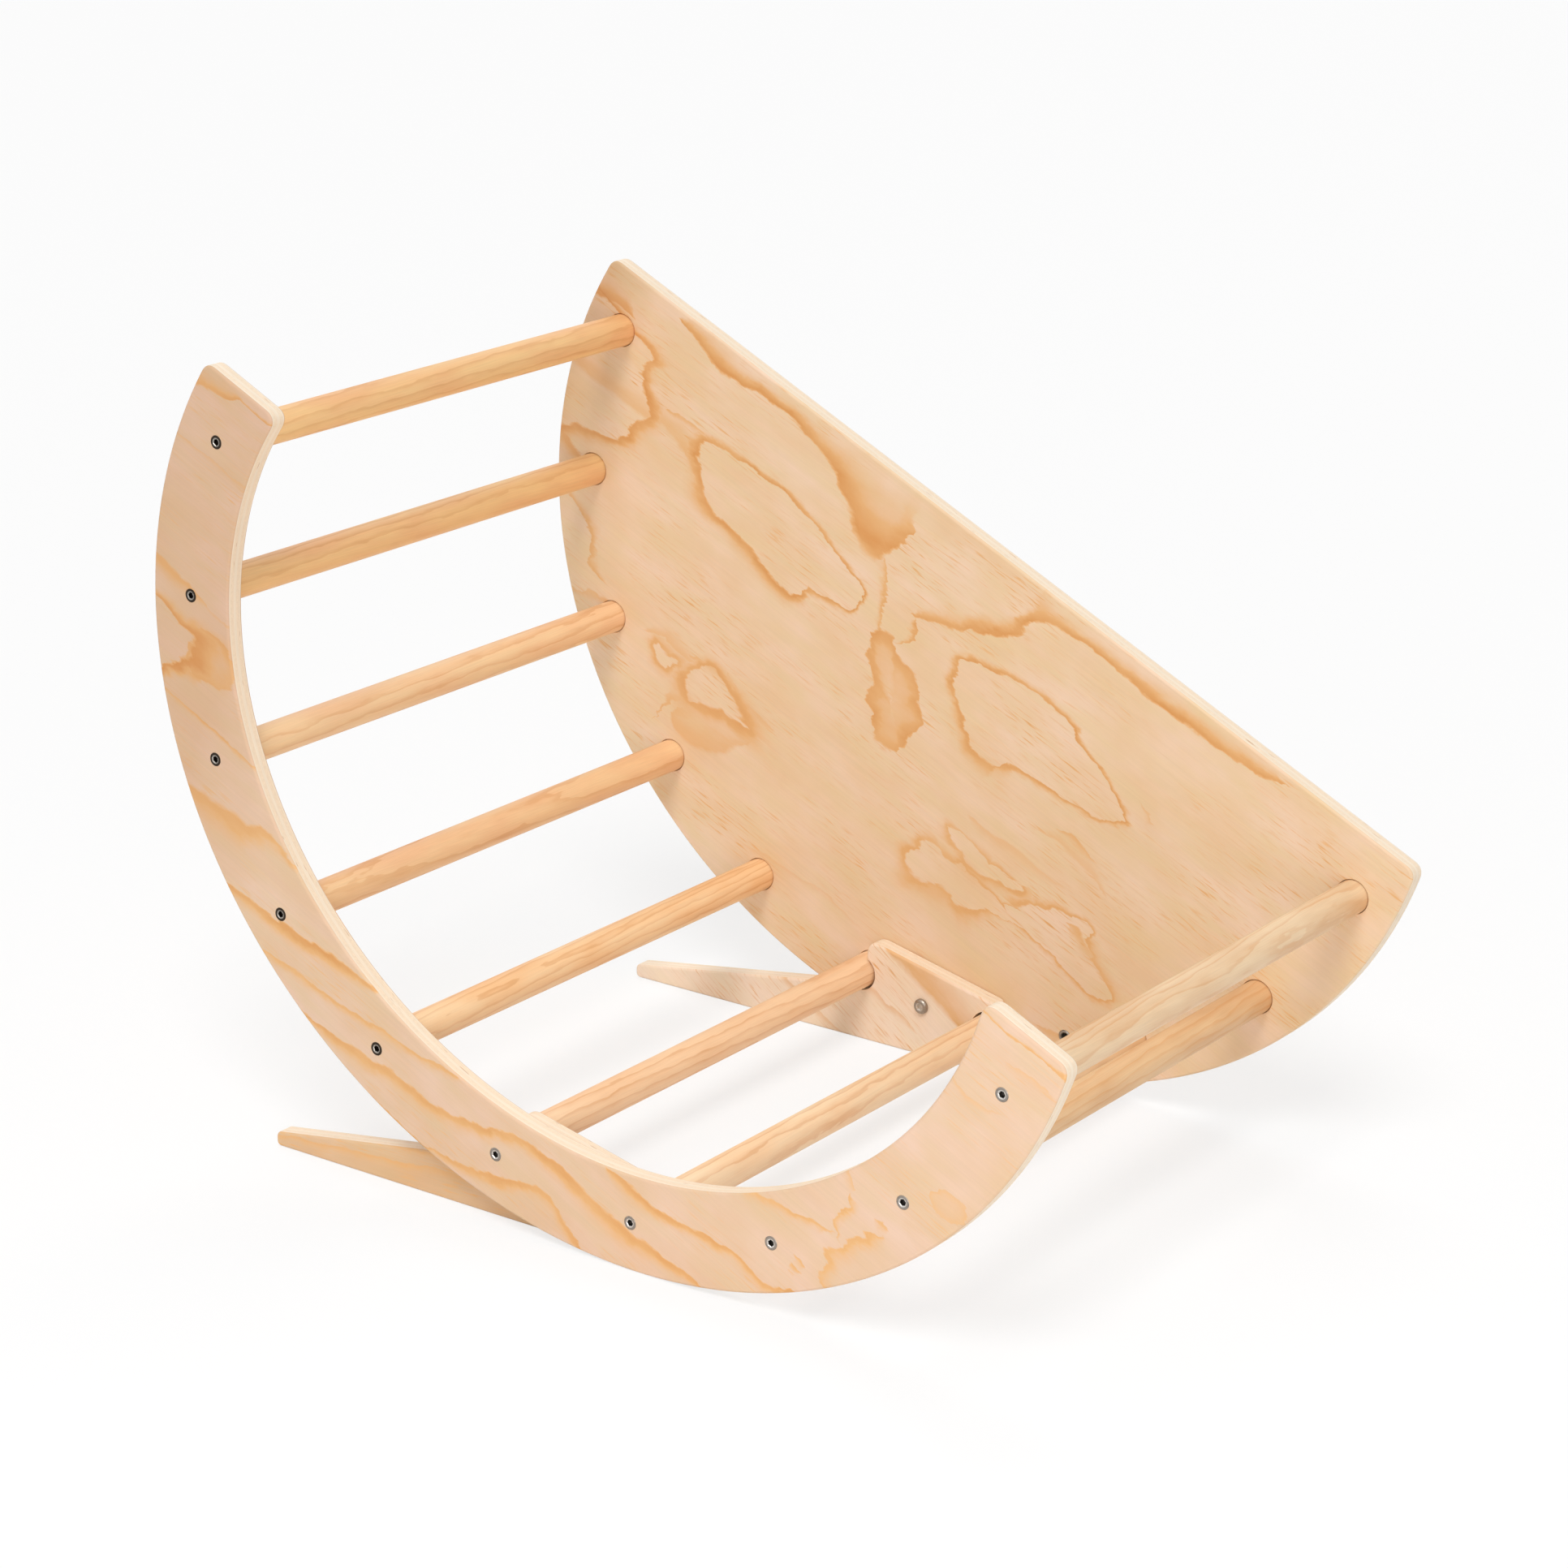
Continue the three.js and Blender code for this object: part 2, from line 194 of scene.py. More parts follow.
class Bench:
    """The workbench: starts, shapes and finishes meshes with Blender's own operators."""

    WELD = 1e-6
    SLIVER = 2e-6
    RIM_STEPS = 4
    SMOOTH_BELOW = math.radians(32)
    FLAT_WEIGHT = 60
    KEY_FLARE = 0.12

    @staticmethod
    def take(obj: Thing) -> None:
        """Makes one object the only selected and the active one.

        Args:
            obj: The object.
        """
        bpy.ops.object.select_all(action="DESELECT")
        obj.select_set(True)
        bpy.context.view_layer.objects.active = obj

    @staticmethod
    def start(add: Callable[..., Any], name: str, **settings: Any) -> Thing:
        """Adds an object with one of Blender's operators.

        Args:
            add: The operator.
            name: Name of the new object.
            **settings: The operator's options.

        Returns:
            The new object.
        """
        bpy.ops.object.select_all(action="DESELECT")
        add(**settings)
        bpy.context.object.name = name
        return bpy.context.object

    @staticmethod
    def edit(obj: Thing) -> None:
        """Opens a mesh for editing, all of it selected.

        Args:
            obj: Object that has the mesh.
        """
        Bench.take(obj)
        bpy.ops.object.mode_set(mode="EDIT")
        bpy.ops.mesh.select_all(action="SELECT")

    @staticmethod
    def close() -> None:
        """Turns all the normals outward and leaves edit mode."""
        bpy.ops.mesh.select_all(action="SELECT")
        bpy.ops.mesh.normals_make_consistent(inside=False)
        bpy.ops.object.mode_set(mode="OBJECT")

    @staticmethod
    def slab(name: str, outline: list[Point], front: float, back: float, ease: float) -> Thing:
        """Makes a plate of even thickness with rounded-over rims, from a circle drawn into its outline.

        Args:
            name: Name of the new object.
            outline: Closed outline in X and Z.
            front: Y of its one face.
            back: Y of its other face.
            ease: How far the round-over of both rims reaches.

        Returns:
            The new object.
        """
        plate = Bench.start(
            bpy.ops.mesh.primitive_circle_add, name, vertices=len(outline), radius=0.1, fill_type="NGON"
        )
        for vertex, (x, z) in zip(plate.data.vertices, outline):
            vertex.co = (x, front, z)
        Bench.edit(plate)
        bpy.ops.mesh.extrude_region_move(TRANSFORM_OT_translate={"value": (0, back - front, 0)})
        bpy.ops.mesh.select_all(action="SELECT")
        bpy.ops.mesh.normals_make_consistent(inside=False)
        bpy.ops.mesh.select_mode(type="EDGE")
        bpy.ops.mesh.select_all(action="DESELECT")
        mesh = bmesh.from_edit_mesh(plate.data)
        for edge in mesh.edges:
            if abs(edge.verts[0].co.y - edge.verts[1].co.y) < Bench.WELD:
                edge.select_set(True)
        bmesh.update_edit_mesh(plate.data)
        bpy.ops.mesh.bevel(offset=ease, segments=Bench.RIM_STEPS, profile=0.5, affect="EDGES")
        bpy.ops.object.mode_set(mode="OBJECT")
        return plate

    @staticmethod
    def turning(name: str, profile: list[Point], sides: int) -> Thing:
        """Turns a profile about the Y axis, as on a lathe.

        Args:
            name: Name of the new object.
            profile: Radius and Y of each point, from the axis back to the axis.
            sides: Number of sides.

        Returns:
            The new object, closed at both poles.
        """
        turned = Bench.start(bpy.ops.mesh.primitive_plane_add, name, size=0.01)
        Bench.edit(turned)
        bpy.ops.mesh.select_mode(type="VERT")
        bpy.ops.mesh.merge(type="CENTER")
        bpy.ops.transform.translate(value=(profile[0][0], profile[0][1], 0))
        for (r0, y0), (r1, y1) in zip(profile, profile[1:]):
            bpy.ops.mesh.extrude_vertices_move(TRANSFORM_OT_translate={"value": (r1 - r0, y1 - y0, 0)})
        bpy.ops.mesh.select_all(action="SELECT")
        bpy.ops.mesh.spin(steps=sides, angle=math.tau, center=(0, 0, 0), axis=(0, 1, 0))
        bpy.ops.mesh.select_all(action="SELECT")
        bpy.ops.mesh.remove_doubles(threshold=Bench.WELD)
        Bench.close()
        return turned

    @staticmethod
    def key_cutter(across: float, top: float, depth: float) -> Thing:
        """Makes the cutter of a hexagonal key socket with a coned mouth.

        Args:
            across: Distance between two flats.
            top: Y at which the socket opens.
            depth: Depth of the socket.

        Returns:
            The cutter, which stands proud of the mouth.
        """
        cutter = Bench.start(
            bpy.ops.mesh.primitive_circle_add, "key_cutter", vertices=6, radius=across / math.sqrt(3),
            fill_type="NGON", rotation=(math.pi / 2, 0, 0),
        )
        bpy.ops.object.transform_apply(location=True, rotation=True, scale=True)
        flare = Bench.KEY_FLARE * across
        Bench.edit(cutter)
        bpy.ops.transform.translate(value=(0, top - depth, 0))
        # A straight socket, a coned mouth and a piece of the same cone that stands proud
        for rise, grow in ((depth - flare, 1.0), (flare, 1.24), (flare, 1.2)):
            bpy.ops.mesh.extrude_region_move(TRANSFORM_OT_translate={"value": (0, rise, 0)})
            bpy.ops.transform.resize(value=(grow, 1, grow), center_override=(0, 0, 0))
        Bench.close()
        return cutter

    @staticmethod
    def place(obj: Thing, spot: Point3, faces_minus_y: bool = False, turn: float = 0.0) -> Thing:
        """Turns a piece about its own axis and puts it in its place, all in its mesh.

        Args:
            obj: Piece made about the Y axis at the origin.
            spot: Where its origin goes.
            faces_minus_y: Whether its +Y end looks to -Y.
            turn: Turn about its own axis, in radians.

        Returns:
            The piece.
        """
        Bench.take(obj)
        obj.rotation_euler = (0, turn, math.pi if faces_minus_y else 0)
        obj.location = spot
        bpy.ops.object.transform_apply(location=True, rotation=True, scale=True)
        return obj

    @staticmethod
    def copy(obj: Thing, name: str) -> Thing:
        """Copies a piece together with its mesh.

        Args:
            obj: Piece to copy.
            name: Name of the copy.

        Returns:
            The copy.
        """
        made = obj.copy()
        made.data = obj.data.copy()
        made.name = name
        bpy.context.scene.collection.objects.link(made)
        return made

    @staticmethod
    def mark_axis_distance(obj: Thing) -> Thing:
        """Writes each point's distance from the Y axis, in millimetres, into its mesh.

        Args:
            obj: Piece made about the Y axis.

        Returns:
            The piece.
        """
        marks = obj.data.attributes.new(AXIS_DISTANCE, "FLOAT", "POINT")
        for vertex, mark in zip(obj.data.vertices, marks.data):
            mark.value = math.hypot(vertex.co.x, vertex.co.z) / MM
        return obj

    @staticmethod
    def cut(obj: Thing, cutters: list[Thing]) -> None:
        """Takes cutters out of a piece.

        Args:
            obj: Piece to cut.
            cutters: Closed meshes that don't touch each other, which are used up.
        """
        Bench.take(cutters[0])
        for cutter in cutters:
            cutter.select_set(True)
        if len(cutters) > 1:
            bpy.ops.object.join()
        tool = bpy.context.object
        Bench.take(obj)
        boolean = obj.modifiers.new("cut", "BOOLEAN")
        boolean.operation = "DIFFERENCE"
        boolean.solver = "EXACT"
        boolean.object = tool
        bpy.ops.object.modifier_apply(modifier=boolean.name)
        bpy.data.objects.remove(tool)
        # The cut leaves slivers where an edge of the cutter lies on one of the piece
        Bench.edit(obj)
        bpy.ops.mesh.remove_doubles(threshold=Bench.SLIVER)
        bpy.ops.object.mode_set(mode="OBJECT")

    @staticmethod
    def hand_over(obj: Thing, node: str, slot: str, material: Material) -> None:
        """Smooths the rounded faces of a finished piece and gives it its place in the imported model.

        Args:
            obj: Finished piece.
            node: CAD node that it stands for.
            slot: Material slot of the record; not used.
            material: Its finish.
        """
        Bench.take(obj)
        bpy.ops.object.shade_smooth_by_angle(angle=Bench.SMOOTH_BELOW)
        weighted = obj.modifiers.new("flat faces", "WEIGHTED_NORMAL")
        weighted.keep_sharp = True
        weighted.weight = Bench.FLAT_WEIGHT
        bpy.ops.object.modifier_apply(modifier=weighted.name)
        obj.data.name = obj.name
        obj.data.materials.clear()
        obj.data.materials.append(material)
        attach(obj, BODY)
        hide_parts(node)
        LOG.info("built %s", obj.name)


@dataclass(frozen=True)
class ArchCurve:
    """The half ellipse that the band follows, and how the tilted arch stands on the floor."""

    half_span: float = 0.365
    depth: float = 0.318
    leg_height: float = 0.047
    half_band: float = 0.035
    tilt: float = math.radians(26)
    rung_count: int = 10
    fine_steps: int = 130

    def at(self, angle: float, offset: float = 0.0) -> Point:
        """Finds a point of the curve.

        Args:
            angle: Its angle on the ellipse, on from the lowest point.
            offset: Distance outward.

        Returns:
            X and Z from the ellipse's centre.
        """
        along = Vector((self.half_span * math.cos(angle), self.depth * math.sin(angle))).normalized()
        x = self.half_span * math.sin(angle) + offset * along.y
        return (x, -self.depth * math.cos(angle) - offset * along.x)

    def end_angle(self, offset: float) -> float:
        """Finds where the curve meets the straight edge.

        Args:
            offset: Distance outward from the ellipse.

        Returns:
            Its angle on the ellipse.
        """
        low, high = math.pi / 2, math.pi
        # So many halvings that no finer angle can be told apart
        for _ in range(48):
            middle = (low + high) / 2
            if self.at(middle, offset)[1] < self.leg_height:
                low = middle
            else:
                high = middle
        return low

    def contact_angle(self) -> float:
        """Returns the angle of the place on which the tilted arch touches the floor."""
        return math.atan2(self.half_span * math.tan(self.tilt), self.depth)

    def stand(self, point: Point, shift: float) -> Point:
        """Tilts a point of the ellipse's frame and sets it on the floor.

        Args:
            point: X and Z from the ellipse's centre.
            shift: X of the place on which the arch touches the floor.

        Returns:
            X and Z in the model's frame.
        """
        contact = self.at(self.contact_angle(), self.half_band)
        x, z = point[0] - contact[0], point[1] - contact[1]
        cosine, sine = math.cos(self.tilt), math.sin(self.tilt)
        return (x * cosine + z * sine + shift, z * cosine - x * sine)

    def run(self, offset: float) -> list[Point]:
        """Draws the curve at an offset from end to end, with a point on the floor.

        Args:
            offset: Distance outward from the middle of the band.

        Returns:
            The curve's points, from the raised end to the low end.
        """
        last = self.end_angle(offset)
        middle = self.contact_angle()
        first_share = round(self.fine_steps * (last + middle) / (2 * last))
        second_share = self.fine_steps - first_share
        before = [-last + (middle + last) * i / first_share for i in range(first_share + 1)]
        after = [middle + (last - middle) * i / second_share for i in range(1, second_share + 1)]
        return [self.at(angle, offset) for angle in before + after]


def walk(points: list[Vector], start: int, step: int, reach: float) -> tuple[Vector, int]:
    """Follows a closed outline from one of its corners.

    Args:
        points: Points of the outline.
        start: Number of the corner.
        step: 1 to go on, -1 to go back.
        reach: Distance to follow.

    Returns:
        The place reached, and how many points lie before it.
    """
    passed, here = 0, points[start]
    while True:
        ahead = points[(start + step * (passed + 1)) % len(points)]
        if (ahead - here).length > reach:
            return here + (ahead - here).normalized() * reach, passed
        reach -= (ahead - here).length
        passed, here = passed + 1, ahead


def rounded(corners: list[Point3], steps: int = 10) -> list[Point]:
    """Rounds the corners of a closed outline, across as many of its points as the radius takes.

    Args:
        corners: X, Z and radius of each point, where zero stays as it is.
        steps: Number of steps round each corner.

    Returns:
        The outline's points.
    """
    points = [Vector(corner[:2]) for corner in corners]
    count = len(points)
    dropped: set[int] = set()
    turns: dict[int, list[Vector]] = {}
    for i, (_, _, radius) in enumerate(corners):
        if radius <= 0:
            continue
        here = points[i]
        angle = (points[i - 1] - here).angle(points[(i + 1) % count] - here)
        reach = radius * math.tan((math.pi - angle) / 2)
        start, behind = walk(points, i, -1, reach)
        end, ahead = walk(points, i, 1, reach)
        dropped.update((i + k) % count for k in range(-behind, ahead + 1))
        parts = [k / steps for k in range(steps + 1)]
        turns[i] = [start * (1 - t) ** 2 + here * 2 * t * (1 - t) + end * t**2 for t in parts]
    kept = (turns.get(i, [] if i in dropped else [point]) for i, point in enumerate(points))
    return [(spot.x, spot.y) for spots in kept for spot in spots]


class Side(Enum):
    """Which side of an open grain line carries its shade."""

    BELOW = -1.0
    ABOVE = 1.0


class Run(Enum):
    """Which way an open grain line runs on the veneer."""

    ALONG = "along the arch"
    UP = "up the arch"


class Fill(Enum):
    """Where a closed grain figure carries its shade."""

    OUTSIDE = "pale island with a shaded surround"
    INSIDE = "stained patch with a dark rim"


@dataclass(frozen=True)
class GrainLine:
    """An open line where a growth ring leaves the veneer, sharp on one side and fading to the other."""

    stations: tuple[Point3, ...]
    side: Side = Side.BELOW
    run: Run = Run.ALONG
    strength: float = 1.0


@dataclass(frozen=True)
class GrainFigure:
    """A closed grain figure, seen from its centre, with the width of its shade at each rim point."""

    centre: Point
    rim: tuple[Point3, ...]
    fill: Fill = Fill.OUTSIDE
    strength: float = 1.0
    lobe: "GrainFigure | None" = None


Marks = tuple[GrainLine | GrainFigure, ...]


class GrainPainter:
    """Draws grain lines and figures with nodes, in millimetres of the veneer's own plane."""

    FADE_OUT = ((0, 0), (0.08, 0), (0.2, 1), (0.32, 0.92), (0.48, 0.58), (0.68, 0.25), (0.85, 0.08), (1, 0))
    STAIN = ((0, 0), (0.08, 0), (0.2, 1), (0.38, 0.9), (0.62, 0.66), (0.85, 0.5), (1, 0.48))
    SPREAD = 1.45
    WIDEST = 60.0
    SOFT_EDGE = 0.19

    def __init__(self, put: Put, plane: Node, worn: Node) -> None:
        """Keeps what every mark reads.

        Args:
            put: Adds a node to the tree.
            plane: Vector of the place on the veneer, its height in Y.
            worn: Value near one that makes shades stronger and weaker along their way.
        """
        self.put, self.plane, self.worn = put, plane, worn
        self.parts = put("SeparateXYZ", {0: plane})

    def share(self, width: float, stretch: float) -> float:
        """Returns the width of a shade, stretched by its slant, as a share of the widest one."""
        return min(1.0, self.SPREAD * width * stretch / self.WIDEST)

    def shade(self, reach: Node, profile: tuple[Point, ...], strength: float) -> Node:
        """Turns a distance in widths of a shade into how dark it is.

        Args:
            reach: Distance beyond the sharp edge, where one is the whole width.
            profile: Curve of the shade.
            strength: How dark its darkest place is.

        Returns:
            The node with the shade.
        """
        # The curves start a little before the sharp edge, so that it is soft
        feed = self.put("Math MULTIPLY_ADD", {0: reach, 1: 1 - self.SOFT_EDGE, 2: self.SOFT_EDGE})
        curve = bend(self.put("FloatCurve", {"Value": feed}), profile)
        kept = self.put("Math MULTIPLY", {0: curve, 1: strength})
        return self.put("Math MULTIPLY", {0: kept, 1: self.worn})

    def line(self, line: GrainLine) -> Node:
        """Draws one open grain line.

        Args:
            line: The line's stations, side and strength.

        Returns:
            The node with its shade.
        """
        along = line.run is Run.ALONG
        spots = sorted(((s[0], s[1]) if along else (s[1], s[0])) + (s[2],) for s in line.stations)
        start, end = spots[0][0], spots[-1][0]
        low = min(spot[1] for spot in spots)
        tall = max(spot[1] for spot in spots) - low + 0.001
        heights, widths = [], []
        for i, (place, height, width) in enumerate(spots):
            before, after = spots[max(0, i - 1)], spots[min(len(spots) - 1, i + 1)]
            slope = (after[1] - before[1]) / (after[0] - before[0])
            part = (place - start) / (end - start)
            heights.append((part, (height - low) / tall))
            widths.append((part, self.share(width, min(2.0, math.hypot(1, slope)))))
        ahead, across = self.parts.outputs[0], self.parts.outputs[1]
        if not along:
            ahead, across = across, ahead
        place = self.put("MapRange", {0: ahead, 1: start, 2: end})
        height = bend(self.put("FloatCurve", {"Value": place}), heights)
        level = self.put("Math MULTIPLY_ADD", {0: height, 1: tall, 2: low})
        above = self.put("Math SUBTRACT", {0: across, 1: level})
        beyond = self.put("Math MULTIPLY", {0: above, 1: line.side.value / self.WIDEST})
        breadth = bend(self.put("FloatCurve", {"Value": place}), widths)
        reach = self.put("Math DIVIDE", {0: beyond, 1: breadth})
        drawn = self.shade(reach, self.FADE_OUT, line.strength)
        ends = self.put("Math MULTIPLY", {0: breadth, 1: 15.0}, use_clamp=True)
        return self.put("Math MULTIPLY", {0: drawn, 1: ends})

    def distance(self, figure: GrainFigure) -> Node:
        """Measures how far a place lies outside a closed figure, in widths of its shade.

        Args:
            figure: The closed figure.

        Returns:
            The node with the distance, below zero inside.
        """
        cx, cz = figure.centre
        wide = max(abs(x - cx) for x, _, _ in figure.rim)
        high = max(abs(z - cz) for _, z, _ in figure.rim)
        radii, widths = [], []
        for i, (x, z, width) in enumerate(figure.rim):
            before, after = figure.rim[i - 1], figure.rim[(i + 1) % len(figure.rim)]
            ray = Vector((x - cx, z - cz))
            way = Vector((after[0] - before[0], after[1] - before[1]))
            slant = abs(ray.cross(way)) / (ray.length * way.length)
            turn = math.atan2((z - cz) / high, (x - cx) / wide) / math.tau + 0.5
            radii.append((turn, math.hypot((x - cx) / wide, (z - cz) / high) / 2))
            widths.append((turn, self.share(width, 1 / max(0.4, slant))))
        for points in (radii, widths):
            points.sort()
            first, last = points[0], points[-1]
            part = (1 - last[0]) / (1 - last[0] + first[0])
            seam = last[1] + (first[1] - last[1]) * part
            points[:] = [(0.0, seam), *points, (1.0, seam)]
        put = self.put
        away = put("VectorMath SUBTRACT", {0: self.plane, 1: (cx, cz, 0)})
        scaled = put("VectorMath MULTIPLY", {0: away, 1: (1 / wide, 1 / high, 0)})
        parts = put("SeparateXYZ", {0: scaled})
        angle = put("Math ARCTAN2", {0: parts.outputs[1], 1: parts.outputs[0]})
        turn = put("Math MULTIPLY_ADD", {0: angle, 1: 1 / math.tau, 2: 0.5})
        ratio = put("VectorMath LENGTH", {0: scaled})
        whole = put("Math DIVIDE", {0: bend(put("FloatCurve", {"Value": turn}), radii), 1: ratio})
        rim = put("Math MULTIPLY_ADD", {0: whole, 1: -2.0, 2: 1.0})
        beyond = put("Math MULTIPLY", {0: rim, 1: put("VectorMath LENGTH", {0: away})})
        breadth = bend(put("FloatCurve", {"Value": turn}), widths)
        scale = put("Math MULTIPLY", {0: breadth, 1: self.WIDEST})
        return put("Math DIVIDE", {0: beyond, 1: scale})

    def figure(self, figure: GrainFigure) -> Node:
        """Draws one closed grain figure.

        Args:
            figure: The figure, with its lobe if it has one.

        Returns:
            The node with its shade.
        """
        reach = self.distance(figure)
        if figure.lobe is not None:
            reach = self.put("Math MINIMUM", {0: reach, 1: self.distance(figure.lobe)})
        if figure.fill is Fill.OUTSIDE:
            return self.shade(reach, self.FADE_OUT, figure.strength)
        inward = self.put("Math MULTIPLY", {0: reach, 1: -1.0})
        return self.shade(inward, self.STAIN, figure.strength)

    def together(self, marks: Marks) -> Node:
        """Draws all the marks of a veneer, and returns the node with the darkest shade at each place."""
        drawn = [self.line(mark) if isinstance(mark, GrainLine) else self.figure(mark) for mark in marks]
        return reduce(lambda whole, one: self.put("Math MAXIMUM", {0: whole, 1: one}), drawn)


